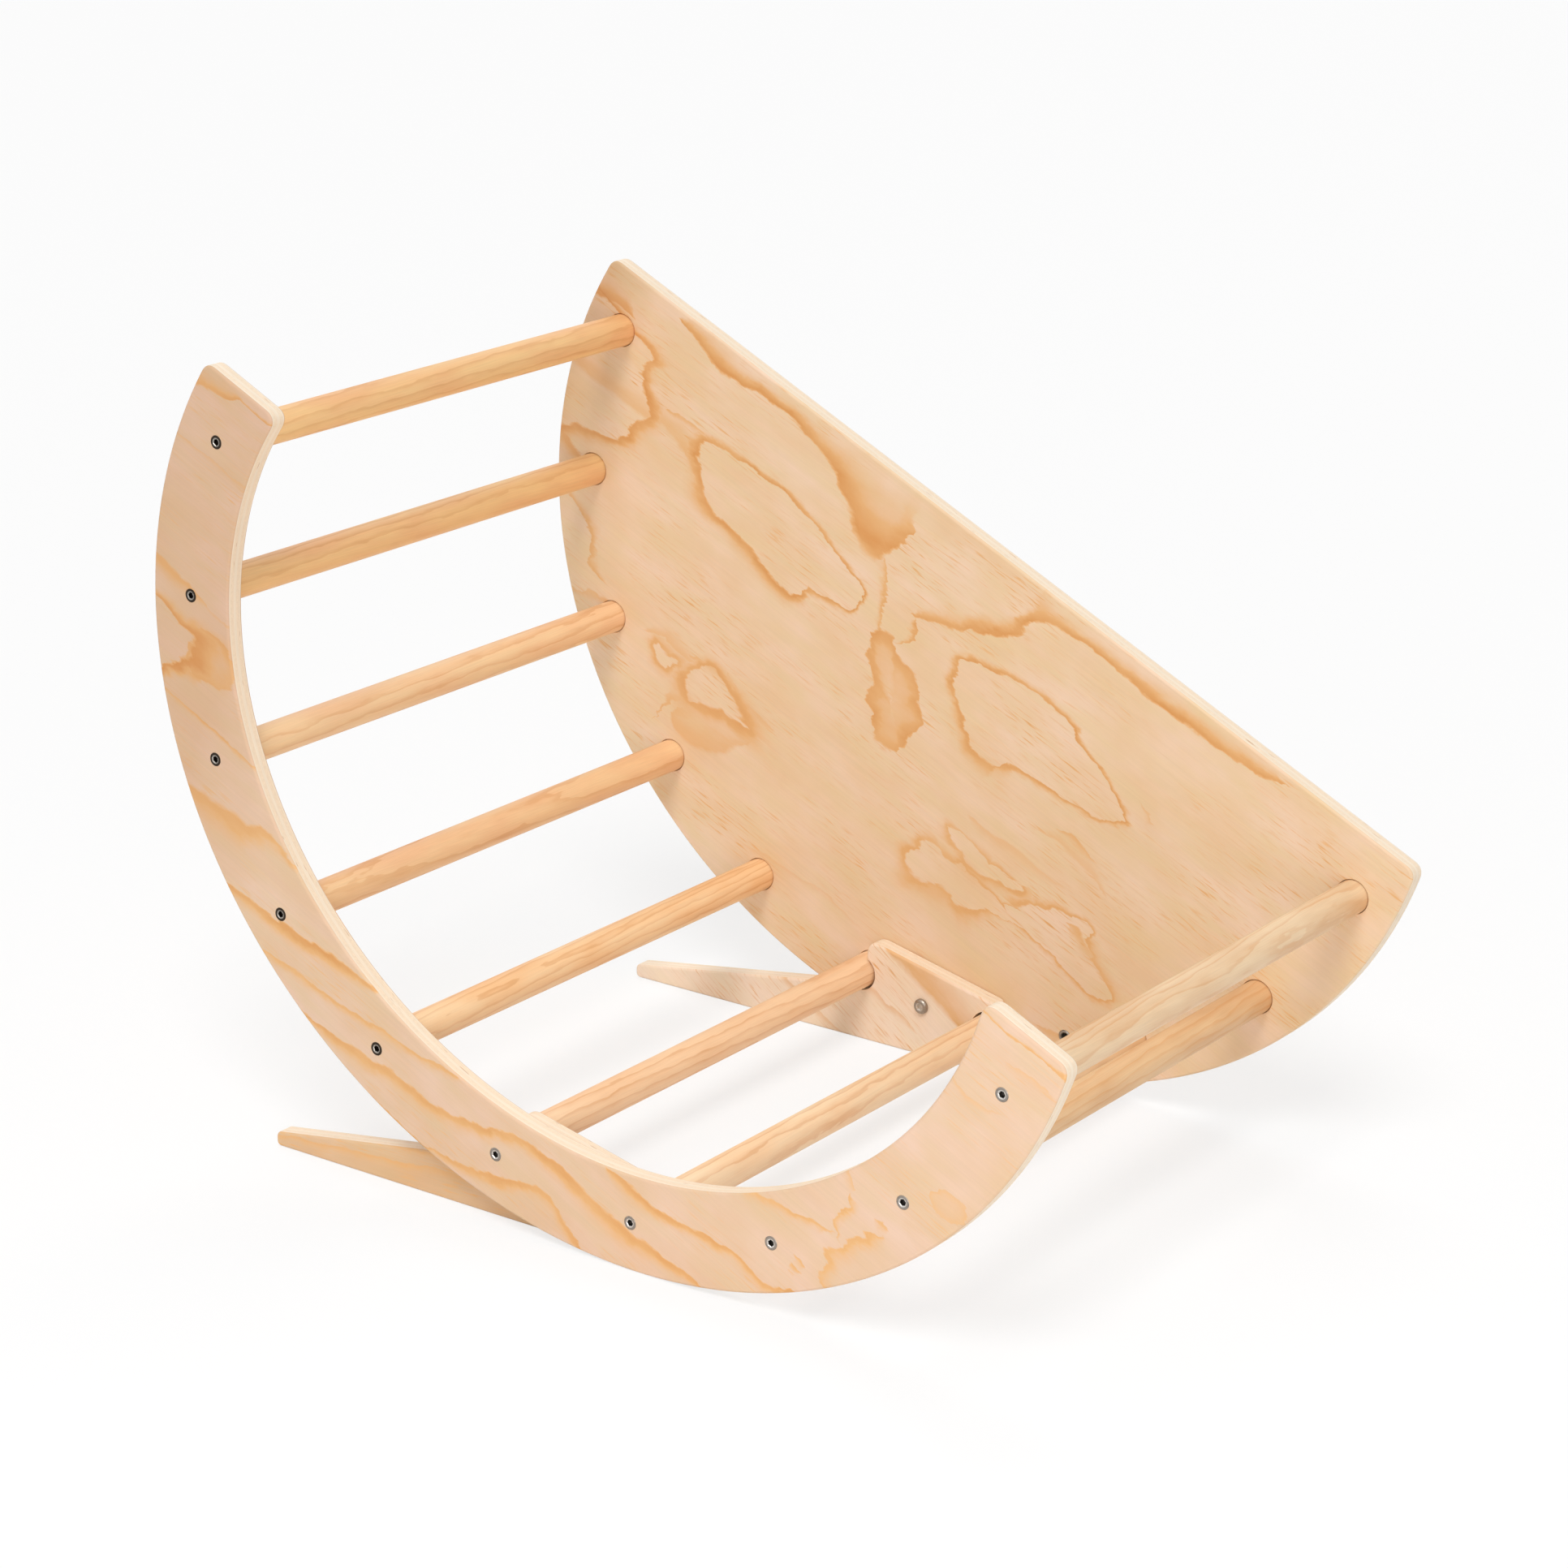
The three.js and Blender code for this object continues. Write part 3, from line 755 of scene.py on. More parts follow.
# Grain of the full panel as seen between the rungs: X from the middle of the straight edge, Z up
PANEL_MARKS: Marks = (
    GrainLine(
        ((-324, 358, 0), (-310, 355, 8), (-290, 350, 12), (-270, 344, 14), (-250, 346, 9), (-235, 349, 8),
         (-200, 350, 8), (-182, 346, 9), (-160, 343, 10), (-148, 338, 14), (-132, 325, 20), (-118, 316, 24),
         (-110, 307, 32), (-98, 301, 38), (-86, 300, 38), (-79, 310, 26), (-72, 322, 14), (-66, 336, 0)),
        Side.ABOVE,
    ),
    GrainLine(
        ((-42, 277, 0), (-36, 277, 6), (-28, 281, 8), (-15, 286, 9), (0, 291, 9), (10, 299, 10),
         (25, 307, 9), (38, 315, 11), (45, 322, 15), (49, 331, 16), (54, 340, 14), (64, 345, 10),
         (82, 347, 8), (100, 350, 6), (130, 348, 8), (170, 346, 10), (210, 347, 10), (240, 349, 9),
         (270, 354, 6), (288, 358, 0)),
        Side.ABOVE,
    ),
    GrainFigure(
        (-172, 259),
        ((-261, 286, 6), (-249, 289, 5), (-229, 291, 5), (-202, 292, 4), (-179, 294, 4), (-152, 289, 4),
         (-129, 282, 4), (-102, 275, 3), (-86, 269, 3), (-82, 261, 3), (-84, 250, 3), (-86, 245, 3),
         (-102, 243, 4), (-124, 240, 5), (-129, 236, 5), (-128, 230, 5), (-138, 226, 8), (-147, 225, 9),
         (-165, 229, 9), (-179, 234, 9), (-202, 238, 9), (-224, 239, 10), (-238, 245, 12), (-245, 252, 12),
         (-254, 264, 10), (-261, 273, 11), (-263, 281, 9)),
    ),
    GrainFigure(
        (92, 256),
        ((15, 273, 6), (28, 280, 4), (44, 283, 4), (57, 288, 4), (80, 291, 4), (103, 289, 5), (118, 286, 5),
         (121, 279, 5), (134, 276, 3), (148, 273, 3), (166, 266, 3), (180, 256, 4), (189, 250, 4),
         (180, 243, 3), (166, 238, 3), (144, 233, 3), (121, 232, 4), (94, 230, 5), (83, 226, 8),
         (80, 218, 10), (66, 216, 9), (53, 217, 8), (44, 225, 7), (39, 230, 7), (30, 239, 7), (19, 250, 7),
         (15, 261, 7)),
        strength=0.9,
    ),
    # The stain that hangs between the two islands, and the lines that lead down to it
    GrainFigure(
        (-20, 203),
        ((-63, 242, 10), (-58, 230, 11), (-52, 221, 12), (-44, 214, 12), (-42, 206, 11), (-43, 198, 10),
         (-39, 192, 9), (-32, 189, 9), (-27, 178, 9), (-21, 171, 9), (-9, 171, 9), (-1, 173, 9),
         (-1, 179, 9), (2, 189, 9), (6, 199, 9), (8, 208, 9), (3, 215, 9), (-5, 220, 9), (-9, 229, 9),
         (-17, 237, 9), (-27, 239, 9), (-36, 241, 9), (-46, 252, 10), (-56, 250, 10)),
        Fill.INSIDE,
        0.85,
    ),
    GrainLine(
        ((-58, 240, 0), (-57, 250, 4), (-61, 262, 4), (-63, 270, 5), (-67, 282, 5), (-76, 296, 6),
         (-82, 303, 0)),
        Side.BELOW, Run.UP, 0.6,
    ),
    GrainLine(
        ((-42, 248, 0), (-31, 254, 4), (-29, 262, 4), (-31, 270, 4), (-36, 278, 0)),
        Side.BELOW, Run.UP, 0.8,
    ),
    # Half an island at the left end, with its thick right shore, and the haze beside it
    GrainFigure(
        (-378, 273),
        ((-353, 322, 5), (-336, 320, 8), (-329, 314, 11), (-331, 307, 12), (-333, 300, 11), (-330, 291, 10),
         (-322, 286, 11), (-314, 279, 12), (-311, 274, 14), (-316, 266, 13), (-322, 259, 12),
         (-324, 252, 12), (-322, 245, 10), (-327, 239, 8), (-338, 234, 7), (-352, 230, 8), (-368, 226, 12),
         (-390, 214, 12), (-440, 260, 8), (-430, 330, 6), (-380, 330, 5)),
    ),
    GrainLine(
        ((-312, 270, 16), (-300, 273, 20), (-285, 272, 22), (-270, 268, 14), (-262, 262, 0)),
        Side.ABOVE, strength=0.42,
    ),
    GrainLine(
        ((-306, 286, 0), (-290, 290, 6), (-270, 291, 6), (-258, 290, 0)), Side.BELOW, strength=0.5
    ),
    GrainLine(((-398, 331, 12), (-385, 334, 14), (-370, 336, 10), (-358, 333, 0)), Side.ABOVE, strength=0.8),
    GrainLine(
        ((-380, 214, 10), (-365, 208, 12), (-350, 203, 8), (-338, 200, 0)), Side.BELOW, strength=0.6
    ),
    GrainLine(
        ((-360, 174, 4), (-345, 168, 5), (-329, 161, 6), (-318, 152, 8), (-313, 141, 9), (-308, 130, 7),
         (-297, 126, 5), (-285, 125, 0)),
        Side.ABOVE, strength=0.55,
    ),
    GrainLine(
        ((-312, 104, 3), (-300, 111, 8), (-285, 114, 7), (-270, 112, 0)), Side.BELOW, strength=0.5
    ),
    # Small islands low on the left, and the stain between them
    GrainFigure(
        (-158, 108),
        ((-191, 103, 14), (-189, 110, 10), (-184, 117, 8), (-174, 127, 7), (-168, 127, 7), (-161, 124, 8),
         (-152, 119, 10), (-136, 113, 14), (-130, 106, 14), (-121, 104, 10), (-131, 102, 12),
         (-142, 100, 12), (-149, 101, 12), (-155, 97, 12), (-164, 94, 12), (-174, 91, 10), (-181, 89, 10),
         (-184, 95, 15)),
        strength=0.8,
    ),
    GrainFigure(
        (-214, 106),
        ((-227, 111, 6), (-226, 113, 6), (-220, 112, 6), (-212, 110, 7), (-206, 112, 7), (-200, 111, 7),
         (-203, 108, 7), (-208, 105, 7), (-209, 99, 8), (-215, 99, 8), (-222, 103, 7)),
        strength=0.65,
    ),
    GrainFigure(
        (-156, 82),
        ((-176, 84, 9), (-184, 74, 9), (-186, 69, 10), (-181, 63, 12), (-170, 59, 16), (-155, 61, 18),
         (-140, 69, 20), (-128, 83, 18), (-116, 98, 12), (-128, 101, 10), (-142, 99, 10), (-155, 95, 10),
         (-166, 91, 9)),
        Fill.INSIDE,
        0.42,
    ),
    GrainLine(
        ((-202, 52, 0), (-199, 62, 7), (-196, 73, 10), (-191, 80, 11), (-182, 86, 11), (-172, 89, 0)),
        Side.ABOVE, strength=0.5,
    ),
    GrainLine(
        ((-245, 114, 0), (-231, 118, 8), (-220, 122, 10), (-209, 119, 12), (-196, 118, 10), (-186, 122, 0)),
        Side.ABOVE, strength=0.4,
    ),
    GrainLine(
        ((-162, 134, 0), (-150, 128, 10), (-135, 122, 14), (-119, 120, 14), (-100, 117, 0)), Side.BELOW,
        strength=0.35,
    ),
    GrainLine(
        ((-200, 122, 0), (-185, 127, 7), (-165, 129, 9), (-140, 124, 6), (-120, 116, 0)), Side.BELOW,
        strength=0.45,
    ),
    # Islands low on the right
    GrainFigure(
        (104, 144),
        ((65, 148, 6), (69, 153, 5), (76, 153, 4), (86, 151, 4), (97, 149, 4), (106, 147, 4), (115, 146, 4),
         (128, 149, 4), (139, 150, 5), (142, 147, 7), (132, 142, 8), (121, 141, 8), (112, 136, 9),
         (105, 134, 9), (94, 133, 8), (86, 138, 7), (75, 140, 7), (69, 143, 7)),
        strength=0.58,
    ),
    GrainFigure(
        (86, 115),
        ((46, 101, 11), (45, 110, 11), (50, 116, 9), (49, 122, 8), (56, 128, 8), (64, 130, 7), (71, 127, 7),
         (81, 128, 7), (89, 131, 7), (95, 128, 7), (104, 128, 6), (113, 126, 5), (124, 126, 3),
         (140, 122, 2), (150, 118, 2), (133, 116, 3), (123, 113, 5), (118, 107, 6), (110, 102, 9),
         (98, 98, 12), (89, 104, 12), (78, 102, 12), (64, 94, 12), (53, 95, 12)),
        strength=0.6,
        lobe=GrainFigure(
            (184, 133),
            ((132, 127, 5), (141, 132, 6), (148, 132, 6), (156, 143, 7), (166, 150, 6), (175, 154, 5),
             (186, 155, 4), (198, 161, 3), (205, 158, 4), (203, 149, 7), (214, 138, 8), (226, 133, 7),
             (238, 127, 6), (243, 121, 6), (236, 114, 5), (224, 112, 4), (208, 114, 3), (190, 118, 3),
             (174, 121, 3), (159, 120, 3), (144, 119, 3)),
        ),
    ),
    GrainLine(((184, 149, 0), (192, 150, 7), (202, 147, 8), (214, 141, 7), (228, 134, 0)), strength=0.45),
    GrainLine(((70, 170, 0), (90, 168, 7), (120, 172, 12), (150, 170, 8), (175, 172, 0)), strength=0.3),
    GrainLine(((120, 196, 0), (150, 200, 9), (180, 196, 10), (205, 188, 0)), Side.ABOVE, strength=0.3),
    GrainLine(((60, 131, 0), (90, 133, 4), (120, 128, 5), (140, 126, 0)), Side.BELOW, strength=0.35),
    GrainLine(((140, 208, 0), (155, 212, 6), (170, 210, 6), (182, 205, 0)), Side.BELOW, strength=0.5),
    GrainLine(((190, 272, 0), (200, 268, 4), (206, 264, 5), (212, 262, 0)), Side.BELOW, strength=0.35),
    GrainLine(((195, 60, 0), (215, 64, 8), (240, 70, 10), (265, 78, 0)), Side.BELOW, strength=0.45),
    GrainLine(((60, 24, 0), (0, 30, 4), (-60, 22, 5), (-110, 14, 0)), Side.BELOW, strength=0.2),
)

# Grain of the open rail as seen from outside, in the same frame
RAIL_MARKS: Marks = (
    GrainLine(((-400, 345, 10), (-387, 349, 9), (-371, 352, 8), (-359, 357, 2)), Side.ABOVE, strength=0.9),
    GrainLine(
        ((-380, 212, 10), (-372, 211, 12), (-360, 209, 11), (-345, 209, 10), (-332, 205, 5), (-322, 202, 0)),
        Side.BELOW, strength=0.55,
    ),
    GrainFigure(
        (-354, 158),
        ((-366, 183, 5), (-350, 180, 7), (-341, 178, 8), (-329, 178, 12), (-324, 176, 26), (-323, 170, 34),
         (-323, 164, 34), (-319, 161, 32), (-323, 157, 22), (-329, 153, 12), (-331, 146, 9), (-337, 143, 8),
         (-341, 139, 8), (-360, 120, 6), (-400, 140, 6), (-390, 180, 6)),
    ),
    GrainFigure(
        (-303, 170),
        ((-324, 184, 6), (-311, 188, 6), (-299, 187, 6), (-290, 181, 7), (-282, 172, 9), (-284, 161, 10),
         (-300, 154, 8), (-318, 151, 7), (-326, 158, 6), (-326, 172, 6)),
        Fill.INSIDE,
        0.62,
    ),
    GrainLine(
        ((-336, 148, 0), (-325, 149, 6), (-312, 151, 7), (-300, 154, 0)), Side.BELOW, strength=0.5
    ),
    GrainLine(
        ((-286, 71, 14), (-277, 72, 20), (-255, 75, 22), (-244, 77, 20), (-228, 77, 18), (-223, 80, 16),
         (-215, 84, 14), (-206, 86, 10), (-192, 85, 7), (-180, 80, 3), (-172, 76, 0)),
        strength=0.7,
    ),
    GrainLine(
        ((-226, 27, 5), (-219, 28, 7), (-197, 29, 8), (-179, 31, 9), (-168, 34, 11), (-146, 35, 11),
         (-134, 39, 10), (-121, 42, 10), (-100, 44, 8), (-84, 44, 5), (-70, 43, 0))
    ),
    GrainLine(
        ((-180, 2, 3), (-174, 4, 6), (-157, 7, 7), (-137, 9, 6), (-115, 11, 5), (-97, 13, 5), (-83, 17, 6),
         (-66, 20, 6), (-46, 22, 6), (-26, 26, 6), (-10, 30, 6), (3, 33, 5), (14, 35, 0)),
        strength=0.62,
    ),
    GrainLine(
        ((-118, -15, 4), (-97, -13, 7), (-79, -10, 10), (-61, -7, 11), (-46, -3, 11), (-24, -1, 9),
         (-4, 0, 9), (10, 3, 9), (35, 12, 10), (49, 18, 9), (58, 24, 8), (79, 31, 8), (98, 34, 9),
         (117, 34, 10), (138, 32, 12), (156, 31, 13), (179, 31, 13), (198, 35, 10), (221, 37, 7),
         (238, 38, 3)),
        strength=0.85,
    ),
    GrainLine(
        ((8, -33, 3), (16, -30, 5), (35, -24, 6), (54, -17, 7), (73, -8, 8), (88, 1, 8), (101, 7, 8),
         (111, 8, 8), (122, 4, 7), (134, -2, 7), (147, -8, 4), (154, -11, 0)),
        strength=0.75,
    ),
    GrainLine(
        ((136, 60, 0), (149, 63, 8), (168, 63, 9), (187, 63, 8), (206, 67, 6), (221, 71, 6), (236, 75, 6),
         (253, 79, 6), (264, 78, 7), (278, 75, 8), (289, 79, 7), (298, 85, 4)),
        strength=0.9,
    ),
    GrainLine(
        ((232, 124, 3), (240, 127, 6), (255, 132, 6), (270, 137, 6), (285, 142, 5), (300, 144, 4),
         (308, 147, 0)),
        strength=0.55,
    ),
    GrainLine(
        ((303, 182, 0), (306, 176, 5), (309, 171, 6), (305, 164, 7), (304, 155, 6), (308, 147, 3),
         (312, 143, 0)),
        Side.ABOVE, Run.UP, 0.6,
    ),
    GrainLine(
        ((338, 173, 0), (329, 164, 10), (327, 157, 9), (320, 150, 8), (318, 145, 9), (312, 136, 12),
         (310, 130, 11), (314, 121, 8), (311, 115, 11), (314, 110, 9), (320, 106, 4)),
        Side.ABOVE, Run.UP, 0.62,
    ),
    GrainLine(((328, 178, 0), (334, 179, 7), (340, 175, 0)), strength=0.5),
    GrainLine(((284, 203, 2), (292, 199, 7), (302, 190, 6), (308, 182, 0)), strength=0.35),
    GrainLine(((287, 112, 0), (291, 112, 5), (298, 111, 5), (301, 110, 0)), strength=0.6),
    GrainLine(((288, 106, 0), (291, 105, 4), (297, 104, 4), (300, 103, 0)), strength=0.5),
    GrainLine(((289, 100, 0), (292, 100, 2), (297, 99, 2), (299, 99, 0)), strength=0.45),
    GrainFigure(
        (368, 225),
        ((354, 224, 4), (358, 231, 4), (368, 234, 5), (380, 232, 5), (384, 225, 5), (380, 218, 4),
         (368, 214, 4), (358, 217, 4)),
        Fill.INSIDE,
        0.4,
    ),
    GrainLine(((330, 304, 3), (345, 300, 5), (360, 303, 5), (372, 308, 0)), strength=0.3),
    GrainLine(((352, 336, 0), (366, 341, 5), (380, 343, 5), (396, 340, 2)), strength=0.28),
)

# Grain of the board at the panel: X along its own grain, which slopes down the board
PANEL_BOARD_MARKS: Marks = (
    GrainLine(
        ((-100, 30, 8), (-75, 34, 16), (-55, 36, 24), (-30, 37, 26), (-10, 36, 20), (16, 38, 8)),
        Side.ABOVE,
        strength=0.5,
    ),
    GrainLine(((-130, -8, 0), (-110, -7, 4), (-80, -4, 7), (-50, 0, 5), (-20, 2, 0)), strength=0.35),
    GrainLine(((-200, -70, 4), (-150, -60, 6), (-100, -58, 5), (-60, -52, 0)), strength=0.3),
)

# Grain of the board at the rail, along its tail
RAIL_BOARD_MARKS: Marks = (
    GrainLine(((-300, 8, 4), (-240, 14, 6), (-170, 17, 6), (-100, 24, 5), (-40, 26, 3)), strength=0.5),
    GrainLine(((-180, 30, 4), (-120, 33, 6), (-60, 40, 6), (0, 44, 3)), strength=0.45),
    GrainLine(((-90, 60, 3), (-60, 64, 6), (-30, 62, 6), (30, 56, 3)), strength=0.6),
)


@dataclass(frozen=True)
class PlywoodFinish:
    """Clear-lacquered pine plywood: rotary-cut face veneers with figured grain, and pale layered edges.

    The pattern is in millimetres of the veneer: X along its grain, Y across the plate, Z up.
    """

    name: str
    marks: Marks
    turn: float
    origin: Point3
    face_light: str = "#EAC8AF"
    face_warm: str = "#E4BF9C"
    face_yellow: str = "#E2C39B"
    shade_soft: str = "#E9B67C"
    shade_core: str = "#DA934A"
    edge_light: str = "#FCEAD2"
    edge_cross: str = "#FAE4C8"
    glue_line: str = "#F0D3AC"
    fleck: str = "#C79260"
    thickness: float = 15.0
    veneer: float = 1.7
    other_side_shift: float = 38.0
    streaks: float = 0.7
    # Painted shade: a tint multiplied over the sheet, in full at the first X and beyond, gone by the second
    # X
    tan: str = "#F8F4F0"
    painted_shade_darkest_x: float = -420.0
    painted_shade_gone_x: float = -360.0

    def material(self) -> Material:
        """Mixes the face veneers and the layered edge under one satin lacquer.

        Returns:
            The plywood.
        """
        made = bpy.data.materials.new(self.name)
        put = blank(made)
        place = {"Location": self.origin, "Rotation": (0, self.turn, 0), "Scale": (1000, 1000, 1000)}
        veneer = put("Mapping", {"Vector": put("TexCoord").outputs["Object"], **place})
        face, height = self.face(put, veneer)
        depth = put("SeparateXYZ", {0: veneer}).outputs[1]
        middle = put("Math SUBTRACT", {0: depth, 1: self.thickness / 2})
        inside = self.thickness / 2 - self.veneer
        off_middle = put("Math ABSOLUTE", {0: middle})
        is_edge = put("MapRange", {0: off_middle, **span(inside + 0.15, inside - 0.15)})
        paint = put("Mix RGBA", {0: is_edge, 6: face, 7: self.edge(put, veneer)})
        coat(put, paint, height, (0.42, 0.56), 0.22)
        return made

    def face(self, put: Put, veneer: Node) -> tuple[Node, Node]:
        """Draws the face veneers.

        Args:
            put: Adds a node to the tree.
            veneer: Place on the plate in millimetres.

        Returns:
            The node with the colour, and the one with the height of the grain.
        """
        parts = put("SeparateXYZ", {0: veneer})
        # The other face is another sheet of veneer, so its figure runs the other way
        half = self.thickness / 2
        far = put("MapRange", {0: parts.outputs[1], **span(half - 0.1, half + 0.1, 1.0, -1.0)})
        shift = put("MapRange", {0: far, **span(1.0, -1.0, 0.0, self.other_side_shift)})
        x = put("Math MULTIPLY_ADD", {0: parts.outputs[0], 1: far, 2: shift})
        sheet = put("CombineXYZ", {0: x, 1: parts.outputs[2]})
        # Wandering, torn edges of the growth rings, 1 to 3 mm off their line
        wander = noise(put, sheet, (0.045, 0.08, 1), 3.0, 0.62)
        torn = noise(put, sheet, (0.1, 0.28, 1), 2.0, 0.6)
        plane = sheet
        for drift, reach in ((wander, (16, 9, 0)), (torn, (6, 2.6, 0))):
            off = put("VectorMath SUBTRACT", {0: drift.outputs["Color"], 1: (0.5, 0.5, 0.5)})
            plane = put("VectorMath MULTIPLY_ADD", {0: off, 1: reach, 2: plane})
        worn = put("MapRange", {0: noise(put, sheet, (0.02, 0.05, 1), 3.0), **span(0.3, 0.68, 0.68, 1.12)})
        shade = GrainPainter(put, plane, worn).together(self.marks)
        # Fine fibres along the grain, drawn about twice as coarse as the real 0.3 mm
        fibres = noise(put, sheet, (0.012, 0.55, 1), 4.0, 0.6)
        fibre = put("MapRange", {0: fibres, **span(0.3, 0.7, 0.97, 1.02)})
        # Short dark dashes, thicker in some zones of the sheet than in others
        dash = put("MapRange", {0: noise(put, sheet, (0.05, 0.62, 1), 2.0), **span(0.54, 0.72)})
        zones = noise(put, sheet, (0.008, 0.022, 1), 2.0)
        zone = put("MapRange", {0: zones, **span(0.42, 0.66, 0.0, self.streaks)})
        streaked = put("Math MAXIMUM", {0: shade, 1: put("Math MULTIPLY", {0: dash, 1: zone})})
        # Mottled ground between pink, warm and yellow pine
        cloud = put("MapRange", {0: noise(put, sheet, (0.014, 0.026, 1), 3.0), **span(0.35, 0.65)})
        tones = noise(put, sheet, (0.018, 0.06, 1), 2.0, shift=(7, 3, 0))
        tone = put("MapRange", {0: tones, **span(0.4, 0.68, 0.0, 0.6)})
        soft = put("MapRange", {0: streaked, **span(0.0, 0.5)})
        core = put("MapRange", {0: streaked, **span(0.45, 1.1, 0.0, 0.8)})
        # Painted shade: the tan tint darkens the sheet towards its low-X end
        painted_shade = put("MapRange", {0: parts.outputs[0], **span(self.painted_shade_gone_x, self.painted_shade_darkest_x)})
        paint = put("Mix RGBA", {0: cloud, 6: self.face_light, 7: self.face_warm})
        paint = put("Mix RGBA", {0: tone, 6: paint, 7: self.face_yellow})
        paint = put("VectorMath SCALE", {0: paint, "Scale": fibre})
        paint = put("Mix RGBA", {0: soft, 6: paint, 7: self.shade_soft})
        paint = put("Mix RGBA", {0: core, 6: paint, 7: self.shade_core})
        paint = put("Mix RGBA", {0: painted_shade, 6: paint, 7: self.tan}, blend_type="MULTIPLY")
        return paint, put("Math MULTIPLY_ADD", {0: streaked, 1: 0.5, 2: fibres})

    def edge(self, put: Put, veneer: Node) -> Node:
        """Draws the layered edge.

        Args:
            put: Adds a node to the tree.
            veneer: Place on the plate in millimetres.

        Returns:
            The node with the colour.
        """
        depth = put("SeparateXYZ", {0: veneer}).outputs[1]
        # Five plies, the second and fourth across the grain
        ply = put("Math MULTIPLY", {0: depth, 1: 5 / self.thickness})
        crossed = put("Math GREATER_THAN", {0: put("Math MODULO", {0: ply, 1: 2.0}), 1: 1.0})
        off = put("Math SUBTRACT", {0: put("Math FRACT", {0: ply}), 1: 0.5})
        glue = put("MapRange", {0: put("Math ABSOLUTE", {0: off}), **span(0.44, 0.5, 0.0, 0.35)})
        long_grain = noise(put, veneer, (0.03, 1.2, 0.03), 3.0)
        end_grain = noise(put, veneer, (0.5, 0.9, 0.5), 3.0)
        grain = put("Mix FLOAT", {0: crossed, 2: long_grain, 3: end_grain})
        fibre = put("MapRange", {0: grain, **span(0.3, 0.7, 0.93, 1.03)})
        # A few open joints and filled gaps between the plies, 5 to 15 mm long
        flecks = noise(put, veneer, (0.06, 0.5, 0.06), 1.0)
        fleck = put("MapRange", {0: flecks, **span(0.72, 0.78, 0.0, 0.7)})
        paint = put("Mix RGBA", {0: crossed, 6: self.edge_light, 7: self.edge_cross})
        paint = put("VectorMath SCALE", {0: paint, "Scale": fibre})
        paint = put("Mix RGBA", {0: glue, 6: paint, 7: self.glue_line})
        return put("Mix RGBA", {0: fleck, 6: paint, 7: self.fleck})


@dataclass(frozen=True)
class RungFinish:
    """Turned pine dowel: growth rings about a pith beside it show as long brown lines."""

    name: str
    axis: Point
    pith: Point
    spacing: float
    lean: Point
    wave: float
    light: str
    warm: str
    line: str = "#D9985A"
    contrast: float = 0.46
    # Each year grows pale, then brown, and ends at once
    year: tuple[Point, ...] = ((0, 0.25), (0.08, 0.0), (0.45, 0.05), (0.75, 0.45), (0.93, 1.0), (1, 0.3))

    def material(self) -> Material:
        """Draws satin, honey-coloured pine with grain that follows the rung.

        Returns:
            The pine.
        """
        made = bpy.data.materials.new(self.name)
        put = blank(made)
        place = {"Location": (self.axis[0], 0, self.axis[1]), "Rotation": (self.lean[0], 0, self.lean[1])}
        coords = put("TexCoord").outputs["Object"]
        local = put("Mapping", {"Vector": coords, **place, "Scale": (MM, MM, MM)}, vector_type="TEXTURE")
        # Slow wander of the grain over 100 to 200 mm, and small waves over 20 mm
        slow = noise(put, local, (0.03, 0.009, 0.03), 2.0).outputs["Color"]
        centred = put("VectorMath SUBTRACT", {0: slow, 1: (0.5, 0.5, 0.5)})
        reach = self.wave * 4
        moved = put("VectorMath MULTIPLY_ADD", {0: centred, 1: (reach, 0, reach), 2: local})
        from_pith = put("VectorMath SUBTRACT", {0: moved, 1: (self.pith[0], 0, self.pith[1])})
        radius = put("VectorMath LENGTH", {0: put("VectorMath MULTIPLY", {0: from_pith, 1: (1, 0, 1)})})
        rings = put("Math MULTIPLY", {0: radius, 1: 1 / self.spacing})
        ripple = noise(put, local, (0.16, 0.03, 0.16), 2.0)
        uneven = put("Math MULTIPLY_ADD", {0: ripple, 1: 0.9, 2: rings})
        late = bend(put("FloatCurve", {"Value": put("Math FRACT", {0: uneven})}), self.year, "AUTO")
        clouds = noise(put, local, (0.05, 0.012, 0.05), 2.0, shift=(5, 2, 1))
        cloud = put("MapRange", {0: clouds, **span(0.35, 0.65)})
        fibres = noise(put, local, (1.3, 0.02, 1.3), 3.0)
        fibre = put("MapRange", {0: fibres, **span(0.3, 0.7, 0.95, 1.03)})
        years = put("MapRange", {0: cloud, **span(0.0, 1.0, 0.6, 1.0)})
        drawn = put("Math MULTIPLY", {0: late, 1: years})
        amount = put("Math MULTIPLY", {0: drawn, 1: self.contrast})
        paint = put("Mix RGBA", {0: cloud, 6: self.light, 7: self.warm})
        paint = put("VectorMath SCALE", {0: paint, "Scale": fibre})
        paint = put("Mix RGBA", {0: amount, 6: paint, 7: self.line})
        coat(put, paint, put("Math MULTIPLY_ADD", {0: late, 1: 0.5, 2: fibres}), (0.38, 0.52), 0.25)
        return made


